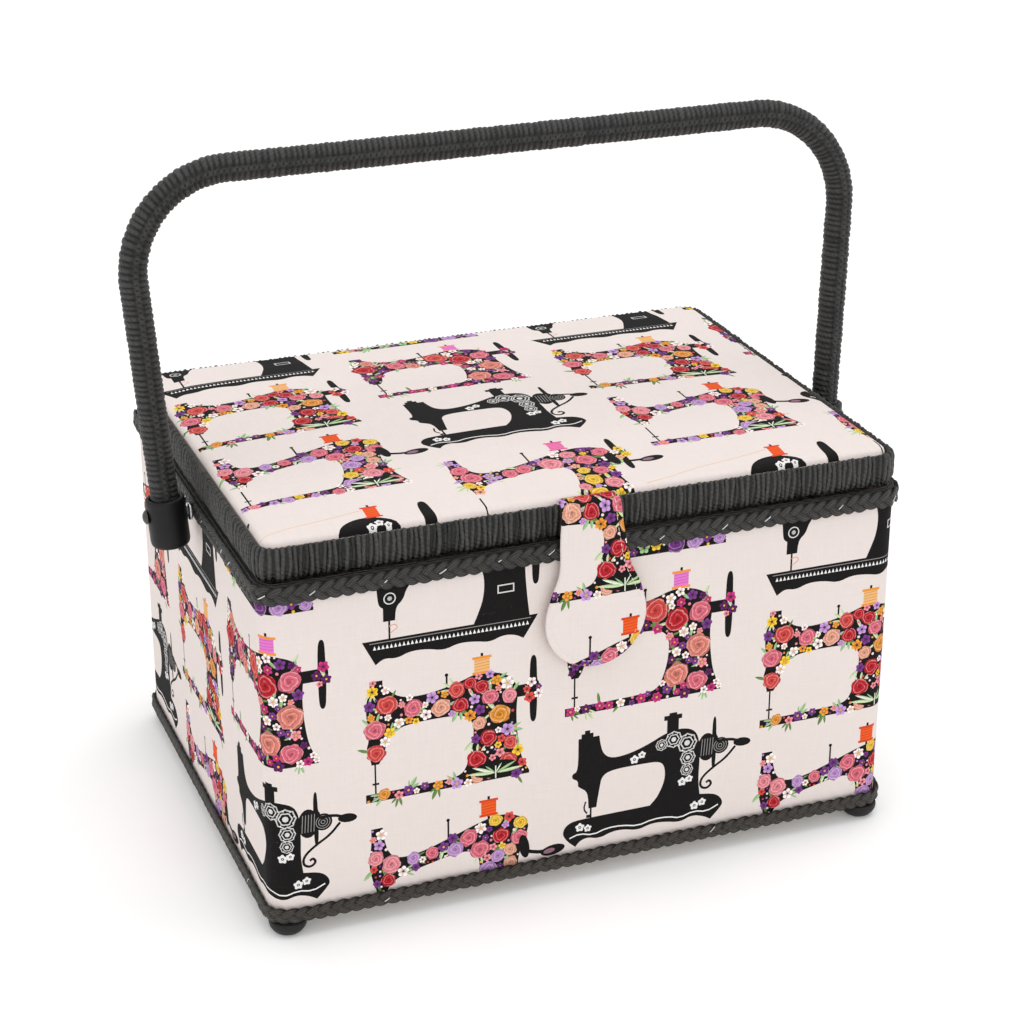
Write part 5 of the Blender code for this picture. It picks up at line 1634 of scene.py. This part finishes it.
def handle_wrap():
    pitch, per, ring = 2.72, 7, 44
    s, p, q = handle_line(3.4, pitch / per)
    n = len(s)
    length = s[-1]
    rng = np.random.default_rng(91)
    a = np.arange(ring) * 2 * np.pi / ring  # 0 faces inwards in the handle's plane, pi/2 faces the rear
    warp = 0.55 * noise1(s, (26.0, length), 3)
    turns = (s + warp)[:, None] / pitch + a[None] / (2 * np.pi)
    strand = np.floor(turns).astype(int)
    phase = turns - strand
    fat = rng.normal(0, 0.10, strand.max() + 2)
    bulge = np.sqrt(np.clip(1 - (2 * phase - 1) ** 2, 0, 1))
    r = 6.66 + 0.92 * (bulge - 1.0) + fat[strand]
    # along the front a second cord is whipped under every other turn: knots half a turn out of step, with a valley on each side
    off = (a[None] - math.radians(-90) + math.pi) % (2 * math.pi) - math.pi + 0.04 * noise1(s, (40.0, length), 12)[:, None]
    knot = np.exp(-(off / 0.17) ** 2)
    valley = np.exp(-((np.abs(off) - 0.33) / 0.10) ** 2)
    step = np.sqrt(np.clip(1 - (2 * ((turns + 0.5) % 1.0) - 1) ** 2, 0, 1))
    r = r * (1 - knot) + knot * (6.74 + 0.80 * (step - 1.0)) - 0.42 * valley
    # painted shade: darker at each strand's edges and between the knots, darker in the valleys beside the knot column;
    # fatter strands are painted lighter
    shade = np.sin(np.pi * phase) * (1 - knot) + np.abs(np.cos(np.pi * turns)) * knot
    groove = shade * (1 - 0.7 * valley) * (1 + 1.6 * fat[strand])
    r[:2] *= 0.96
    r[-2:] *= 0.96
    pts = np.zeros((n, ring, 3))
    pts[..., 0] = p[:, 0, None] + q[:, 0, None] * np.cos(a)[None] * r
    pts[..., 2] = p[:, 1, None] + q[:, 1, None] * np.cos(a)[None] * r
    pts[..., 1] = np.sin(a)[None] * r
    flat = pts.reshape(-1, 3)
    m = np.array(TILT_MM)
    pts = (flat @ m[:3, :3].T + m[:3, 3]).reshape(pts.shape)
    uv = np.zeros((n, ring + 1, 2))
    uv[..., 0] = s[:, None]
    uv[..., 1] = np.arange(ring + 1)[None] * 2 * np.pi / ring * 6.6
    return grid_mesh("handle_winding", pts, M_WRAP, wrap_v=True, uv=uv, flip=True, groove=groove)


HANDLE = handle_wrap()
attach(HANDLE, "handle")
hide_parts("handle_wrap")

CAP_PROFILE = [(0, 3.3), (6.85, 3.3), (6.9, 3.6, 1), (7.0, 8.1), (7.5, 8.7), (8.6, 8.7), (9.2, 8.1), (9.2, -3.0), (9.2, -12.6), (8.6, -14.3), (7.0, -15.2), (3.5, -15.35), (0, -15.4)]
for _side, _sx in (("left", -1), ("right", 1)):
    _lean = Matrix.Translation((_sx * HX0 * MM, 0, 0)) @ Matrix.Rotation(_sx * SPLAY, 4, "Y")
    _cap = lathe(f"cap_{_side}", CAP_PROFILE, 64, M_PLASTIC, place=TILT @ _lean)
    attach(_cap, "handle")
    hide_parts(f"handle_cap_{_side}")
    _out = Matrix.Translation((0, PIVOT_Y * MM, PIVOT_Z * MM)) @ Matrix.Rotation(math.radians(90 * _sx), 4, "Y")
    _rivet = lathe(
        f"rivet_{_side}",
        [(0, 181.4), (1.3, 181.25), (2.6, 180.6), (3.4, 179.7), (3.4, 179.4), (2.4, 179.3, 1), (2.4, 147.9, 1), (3.9, 147.8), (3.8, 147.2), (3.0, 146.5), (0, 146.3)],
        40, M_GUNMETAL, place=_out,
    )
    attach(_rivet, "body")
    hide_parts(f"pivot_rivet_{_side}")
    _spacer = lathe(f"spacer_{_side}", [(2.7, 160.1, 1), (3.6, 160.1), (4.2, 159.7), (4.2, 158.6), (3.6, 158.3), (2.7, 158.3, 1), (2.7, 160.1, 1)], 40, M_STEEL, place=_out)
    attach(_spacer, "body")
    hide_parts(f"pivot_spacer_{_side}")

# ---- feet --------------------------------------------------------------------------------
FOOT_PROFILE = [(0, 7.3), (7.6, 7.3), (8.5, 7.0), (8.8, 6.2), (8.8, 4.9), (8.5, 3.7), (7.8, 2.4), (6.8, 1.2), (5.6, 0.4), (4.4, 0.0, 1), (0, 0)]
for _end, _sy in (("front", -1), ("rear", 1)):
    for _side, _sx in (("left", -1), ("right", 1)):
        _foot = lathe(f"domed_foot_{_end}_{_side}", FOOT_PROFILE, 56, M_FOOT, place=Matrix.Translation((_sx * 147.0 * MM, _sy * 109.5 * MM, 0)), rounds=1)
        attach(_foot, "body")
        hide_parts(f"foot_{_end}_{_side}")


# ---- soft pieces inside -------------------------------------------------------------------
def boundary_loop(tris):
    ends = np.concatenate([tris[:, [0, 1]], tris[:, [1, 2]], tris[:, [2, 0]]])
    keys, index, uses = np.unique(np.sort(ends, axis=1), axis=0, return_inverse=True, return_counts=True)
    once = uses[index.reshape(-1)] == 1
    follow = {int(a): int(b) for a, b in ends[once]}
    start = next(iter(follow))
    out = [start]
    while follow[out[-1]] != start:
        out.append(follow[out[-1]])
    return out


def slab(name, hx, hy, r, z_flat, height, material, step=4.0, side=1):
    """A padded panel: flat on one face, height(points) on the other; side is +1 for a padded top, -1 for a padded underside."""
    edge = split_edges(loop2(hx, hy, r, 5), 3.0)
    rings = [split_edges(loop2(hx - d, hy - d, max(r - d, 0.8), 4), st) for d, st in ((0.5, 3.0), (1.2, 3.2), (2.4, 3.6))]
    X, Y = np.meshgrid(np.arange(-hx + 4, hx - 3.5, step), np.arange(-hy + 4, hy - 3.5, step), indexing="ij")
    grid = np.concatenate(rings + [np.stack([X.ravel(), Y.ravel()], 1)])
    points, tris, _tops = printed_plane(edge, [], grid + np.random.default_rng(3).uniform(-0.03, 0.03, grid.shape))
    z = height(points)
    loop = boundary_loop(tris)
    n, base = len(loop), len(points)
    low = np.stack([points[loop, 0], points[loop, 1], np.full(n, z_flat)], 1)
    all_pts = np.concatenate([np.stack([points[:, 0], points[:, 1], z], 1), low, [[0, 0, z_flat]]])
    more = []
    for k in range(n):
        k1 = (k + 1) % n
        more += [(loop[k], base + k, loop[k1]), (loop[k1], base + k, base + k1), (base + k, base + n, base + k1)]
    tri = np.concatenate([tris, np.array(more)])
    if side < 0:
        tri = tri[:, ::-1]
    obj = raw_mesh(name, all_pts, tri, material, uv=all_pts[:, :2])
    return sharpen(obj, 50)


def quilt(p, hx, hy, r, z_edge, z_peak, cell, side, seed=0.0):
    """Height of diamond quilting with a turned edge."""
    u = (p[:, 0] + p[:, 1]) / (cell * math.sqrt(2)) + seed
    v = (p[:, 0] - p[:, 1]) / (cell * math.sqrt(2)) + seed
    puff = np.abs(np.sin(np.pi * u) * np.sin(np.pi * v)) ** 0.45
    ridge = np.minimum(np.abs(np.sin(np.pi * u)), np.abs(np.sin(np.pi * v)))
    pucker = 0.10 * np.sin(p[:, 0] * 1.3 + 2.0 * np.sin(p[:, 1] / 7.0)) * np.exp(-((ridge - 0.25) / 0.2) ** 2)
    d = border_distance(p, hx, hy, r)
    turned = np.sqrt(np.clip(1 - (1 - np.clip(d / 2.6, 0, 1)) ** 2, 0, 1))
    return z_edge + (z_peak - z_edge) * turned * (0.28 + 0.72 * puff) + side * pucker * np.clip(d / 6, 0, 1)


BASE_PAD = slab("base_padding", 150.7, 111.2, 5.2, 11.95, lambda p: quilt(p, 150.7, 111.2, 5.2, 12.6, 16.0, 34.0, 1), M_SATIN, step=2.6)
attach(BASE_PAD, "body")
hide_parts("base_pad")

LID_LINER = slab("quilted_lid_lining", 151.0, 110.5, 6.0, 184.0, lambda p: quilt(p, 151.0, 110.5, 6.0, 183.6, 180.9, 38.0, -1, 0.5), M_SATIN, step=2.6, side=-1)
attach(LID_LINER, "lid")
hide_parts("lid_lining")


def lining_wall():
    length, at = track(150.9, 111.4, 5.4)
    n = int(length / 2.6)
    s = np.arange(n) * length / n
    z0, z1 = 16.3, 174.5
    inner = [(0.95, z) for z in np.concatenate([[z0 + 0.3], np.linspace(z0 + 3, z1 - 8, 20), np.linspace(z1 - 7, z1 - 0.6, 9)])]
    section = np.array([(0.0, z0 + 0.2), (0.45, z0)] + inner + [(0.75, z1 - 0.1), (0.45, z1), (0.1, z1 - 0.2), (0.0, z1 - 1.0), (0.0, (z0 + z1) / 2)])
    m = len(section)
    depth, z = section[:, 0][None], section[:, 1][None]
    hem = 0.35 * np.exp(-((z - (z1 - 5.0)) / 0.5) ** 2)
    roll = 0.20 * np.exp(-((z - (z1 - 2.2)) / 1.6) ** 2)
    gather = 0.06 * np.sin(s[:, None] * 2 * np.pi / 3.4 + 1.5 * np.sin(s[:, None] / 17.0)) * np.exp(-((z - (z1 - 5.0)) / 3.0) ** 2)
    drape = 0.05 * np.sin(s[:, None] / 19.0) * np.sin(z / 37.0)
    d = depth + np.where(depth > 0.9, -hem + roll + gather + drape, 0.0)
    x, y, nx, ny = at(np.repeat(s[:, None], m, 1))
    pts = np.stack([x - nx * d, y - ny * d, np.repeat(z, n, 0)], -1)
    uv = np.zeros((n + 1, m + 1, 2))
    uv[..., 0] = (np.arange(n + 1) * length / n)[:, None]
    uv[..., 1] = np.arange(m + 1)[None] * 5.0
    obj = grid_mesh("wall_lining", pts, M_SATIN, wrap_u=True, wrap_v=True, uv=uv)
    return facing_out(obj), length


def facing_out(obj):
    bm = bmesh.new()
    bm.from_mesh(obj.data)
    if bm.calc_volume(signed=True) < 0:
        bmesh.ops.reverse_faces(bm, faces=bm.faces)
        bm.to_mesh(obj.data)
    bm.free()
    return obj


WALL_LINING, _len = lining_wall()
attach(WALL_LINING, "body")
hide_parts("lining_wall")


def thick_sheet(name, P, thickness, material, uv_scale=1.0):
    """A sheet with two faces from a grid of points in mm."""
    du = np.gradient(P, axis=0)
    dv = np.gradient(P, axis=1)
    n = np.cross(du, dv)
    n /= np.maximum(np.linalg.norm(n, axis=2), 1e-9)[..., None]
    a, b = P + n * thickness / 2, P - n * thickness / 2
    nu, nv = P.shape[:2]
    run_u = np.concatenate([[0], np.cumsum(np.linalg.norm(P[1:, nv // 2] - P[:-1, nv // 2], axis=1))])
    run_v = np.concatenate([[0], np.cumsum(np.linalg.norm(P[nu // 2, 1:] - P[nu // 2, :-1], axis=1))])
    # one closed tube across u: front, round the far edge, back, round the near edge
    ring = np.concatenate([a, b[:, ::-1]], axis=1)
    m = ring.shape[1]
    uvv = np.concatenate([run_v, run_v[::-1] + 400, [400.0]])
    uv = np.zeros((nu, m + 1, 2))
    uv[..., 0] = run_u[:, None]
    uv[..., 1] = uvv[None]
    obj = grid_mesh(name, ring, material, wrap_v=True, uv=uv)
    bm = bmesh.new()
    bm.from_mesh(obj.data)
    bm.verts.ensure_lookup_table()
    for i in (0, nu - 1):
        for k in range(nv - 1):
            quad = [i * m + k, i * m + k + 1, i * m + m - 2 - k, i * m + m - 1 - k]
            bm.faces.new([bm.verts[q] for q in quad])
    bmesh.ops.recalc_face_normals(bm, faces=bm.faces)
    for f in bm.faces:
        f.smooth = True
    bm.to_mesh(obj.data)
    bm.free()
    return facing_out(obj)


def pocket():
    """A gathered pocket under the lid: sewn on three sides, elastic along its mouth."""
    nx_, ny_ = 260, 46
    x = np.linspace(-127.4, 127.4, nx_)
    v = np.linspace(0, 1, ny_)  # 0 at the mouth
    y = 12.6 + 78.8 * v
    X, V = np.meshgrid(x, v, indexing="ij")
    Y = np.repeat(y[None], nx_, 0)
    ends = np.clip((127.4 - np.abs(X)) / 9.0, 0, 1)
    belly = np.sin(np.clip((1 - V) / 0.75, 0, 1) * np.pi / 2) ** 0.8
    drop = 3.7 * np.sqrt(np.clip(ends * (2 - ends), 0, 1)) * belly
    wave = np.sin(X * 2 * np.pi / 7.3 + 1.4 * np.sin(X / 23.0) + 0.5 * np.sin(V * 5 + X / 11.0))
    amp = 0.75 * np.clip(ends * 1.6, 0, 1) * (0.20 + 0.80 * np.exp(-((V - 0.14) / 0.26) ** 2) + 0.35 * np.exp(-((V - 1.0) / 0.14) ** 2))
    elastic = -1.15 * np.exp(-((V - 0.115) / 0.028) ** 2)
    Z = 180.25 - drop - amp * wave + (-elastic) * ends * 0.85 - 0.25 * (V < 0.08) * np.sin(X * 2 * np.pi / 3.6)
    Z = np.clip(Z, 174.9, 180.45)
    Y = Y + 0.5 * np.sin(X / 3.1) * np.clip(1 - V / 0.12, 0, 1)
    P = np.stack([X, Y, Z], -1)
    return thick_sheet("gathered_lid_pocket", P, 0.45, M_SATIN)


POCKET = pocket()
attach(POCKET, "lid")
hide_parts("lid_pocket")


def pincushion():
    """A stuffed velvet oval with a piped seam, its stuffing drawn down by a few stitches."""
    ring, rows = 120, 34
    a = np.arange(ring) * 2 * np.pi / ring
    t = np.linspace(0, 1, rows)
    verts = []
    for k in range(rows):
        if t[k] < 0.28:  # the seam's side, coming round from the flat back
            q = t[k] / 0.28
            rr = 0.955 + 0.045 * math.sin(q * math.pi / 2)
            z = 180.6 - 2.4 * q
        else:
            q = (t[k] - 0.28) / 0.72
            rr = math.cos(q * math.pi / 2) ** 0.72
            z = 178.2 - 6.9 * math.sin(q * math.pi / 2) ** 0.85
        rr = max(rr, 0.004)
        x, y = 45.6 * rr * np.cos(a), 29.6 * rr * np.sin(a)
        crease = 0.30 * np.sin(a * 23 + 1.2 * np.sin(a * 5)) * math.exp(-((rr - 0.97) / 0.08) ** 2)
        pull = sum(1.5 * np.exp(-(((x - cx) / 4.2) ** 2 + ((y - cy) / 4.2) ** 2)) for cx, cy in ((-21, 0), (0, 0), (21, 0)))
        zz = z + pull * (rr < 0.9) + 0.12 * np.sin(x / 4.3) * np.sin(y / 5.1)
        verts.append(np.stack([x * (1 + crease * 0.012), -46 + y * (1 + crease * 0.012), np.clip(zz, 171.1, 180.65)], 1))
    obj = grid_mesh("velvet_pincushion", np.array(verts), M_VELVET, wrap_v=True)
    bm = bmesh.new()
    bm.from_mesh(obj.data)
    bm.verts.ensure_lookup_table()
    bm.faces.new([bm.verts[k] for k in range(ring)])
    bm.faces.new([bm.verts[(rows - 1) * ring + k] for k in range(ring)])
    bmesh.ops.recalc_face_normals(bm, faces=bm.faces)
    for f in bm.faces:
        f.smooth = True
    bm.to_mesh(obj.data)
    bm.free()
    piping_pts = np.zeros((220, 12, 3))
    for i in range(220):
        b = 2 * math.pi * i / 220
        c = np.array([46.0 * math.cos(b) * 0.995, -46 + 30.0 * math.sin(b) * 0.995, 179.4])
        out = np.array([math.cos(b) * 30, math.sin(b) * 46, 0])
        out /= np.linalg.norm(out)
        for j in range(12):
            g = 2 * math.pi * j / 12
            rr = 0.95 + 0.12 * math.cos(2 * math.pi * i / 4.0 + g)
            piping_pts[i, j] = c + out * rr * math.cos(g) + np.array([0, 0, rr * math.sin(g)])
    uv = np.zeros((221, 13, 2))
    uv[..., 0] = np.arange(221)[:, None]
    uv[..., 1] = np.arange(13)[None] * 0.5
    piping = grid_mesh("pincushion_piping", piping_pts, M_THREAD, wrap_u=True, wrap_v=True, uv=uv)
    return obj, facing_out(piping)


CUSHION, PIPING = pincushion()
for _o in (CUSHION, PIPING):
    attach(_o, "lid")
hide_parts("pincushion")

# ---- floor, light ------------------------------------------------------------------------
_n = Nodes("studio_floor")
_f = _n.noise(_n.place(), 3.0, 2.0)
M_FLOOR = _n.set(colour=_n.scale_colour((0.95, 0.95, 0.95, 1.0), _n.ramp(_f, 0.2, 0.8, 0.995, 1.005)), rough=0.9, specular=0.0)
_n.bsdf.inputs["Emission Color"].default_value = (1.0, 1.0, 1.0, 1.0)
_n.bsdf.inputs["Emission Strength"].default_value = 0.12
floor = mesh_object("floor", [(-4000, -4000, 0), (4000, -4000, 0), (4000, 4000, 0), (-4000, 4000, 0)], [(0, 1, 2, 3)], M_FLOOR, smooth=False)

world = bpy.data.worlds.new("studio")
SCENE.world = world
world.use_nodes = True
world.node_tree.nodes["Background"].inputs[0].default_value = (1.0, 1.0, 1.0, 1.0)
world.node_tree.nodes["Background"].inputs[1].default_value = 0.86


def softbox(name, where, at, size, power, spread=None):
    light = bpy.data.lights.new(name, "AREA")
    light.shape = "RECTANGLE"
    light.size, light.size_y = size
    light.energy = power
    obj = bpy.data.objects.new(name, light)
    COLL.objects.link(obj)
    obj.location = where
    obj.rotation_euler = (Vector(at) - Vector(where)).to_track_quat("-Z", "Y").to_euler()
    return obj


softbox("key", (0.2, -2.4, 1.6), (0, 0, 0.15), (1.8, 1.8), 5.4)
softbox("top", (0.3, 0.0, 2.4), (0, 0, 0.15), (1.7, 1.7), 14.5)
softbox("side", (-2.3, 0.3, 1.2), (0, 0, 0.15), (1.6, 1.6), 2.6)
SCENE.view_settings.view_transform = "Standard"

bpy.context.view_layer.update()
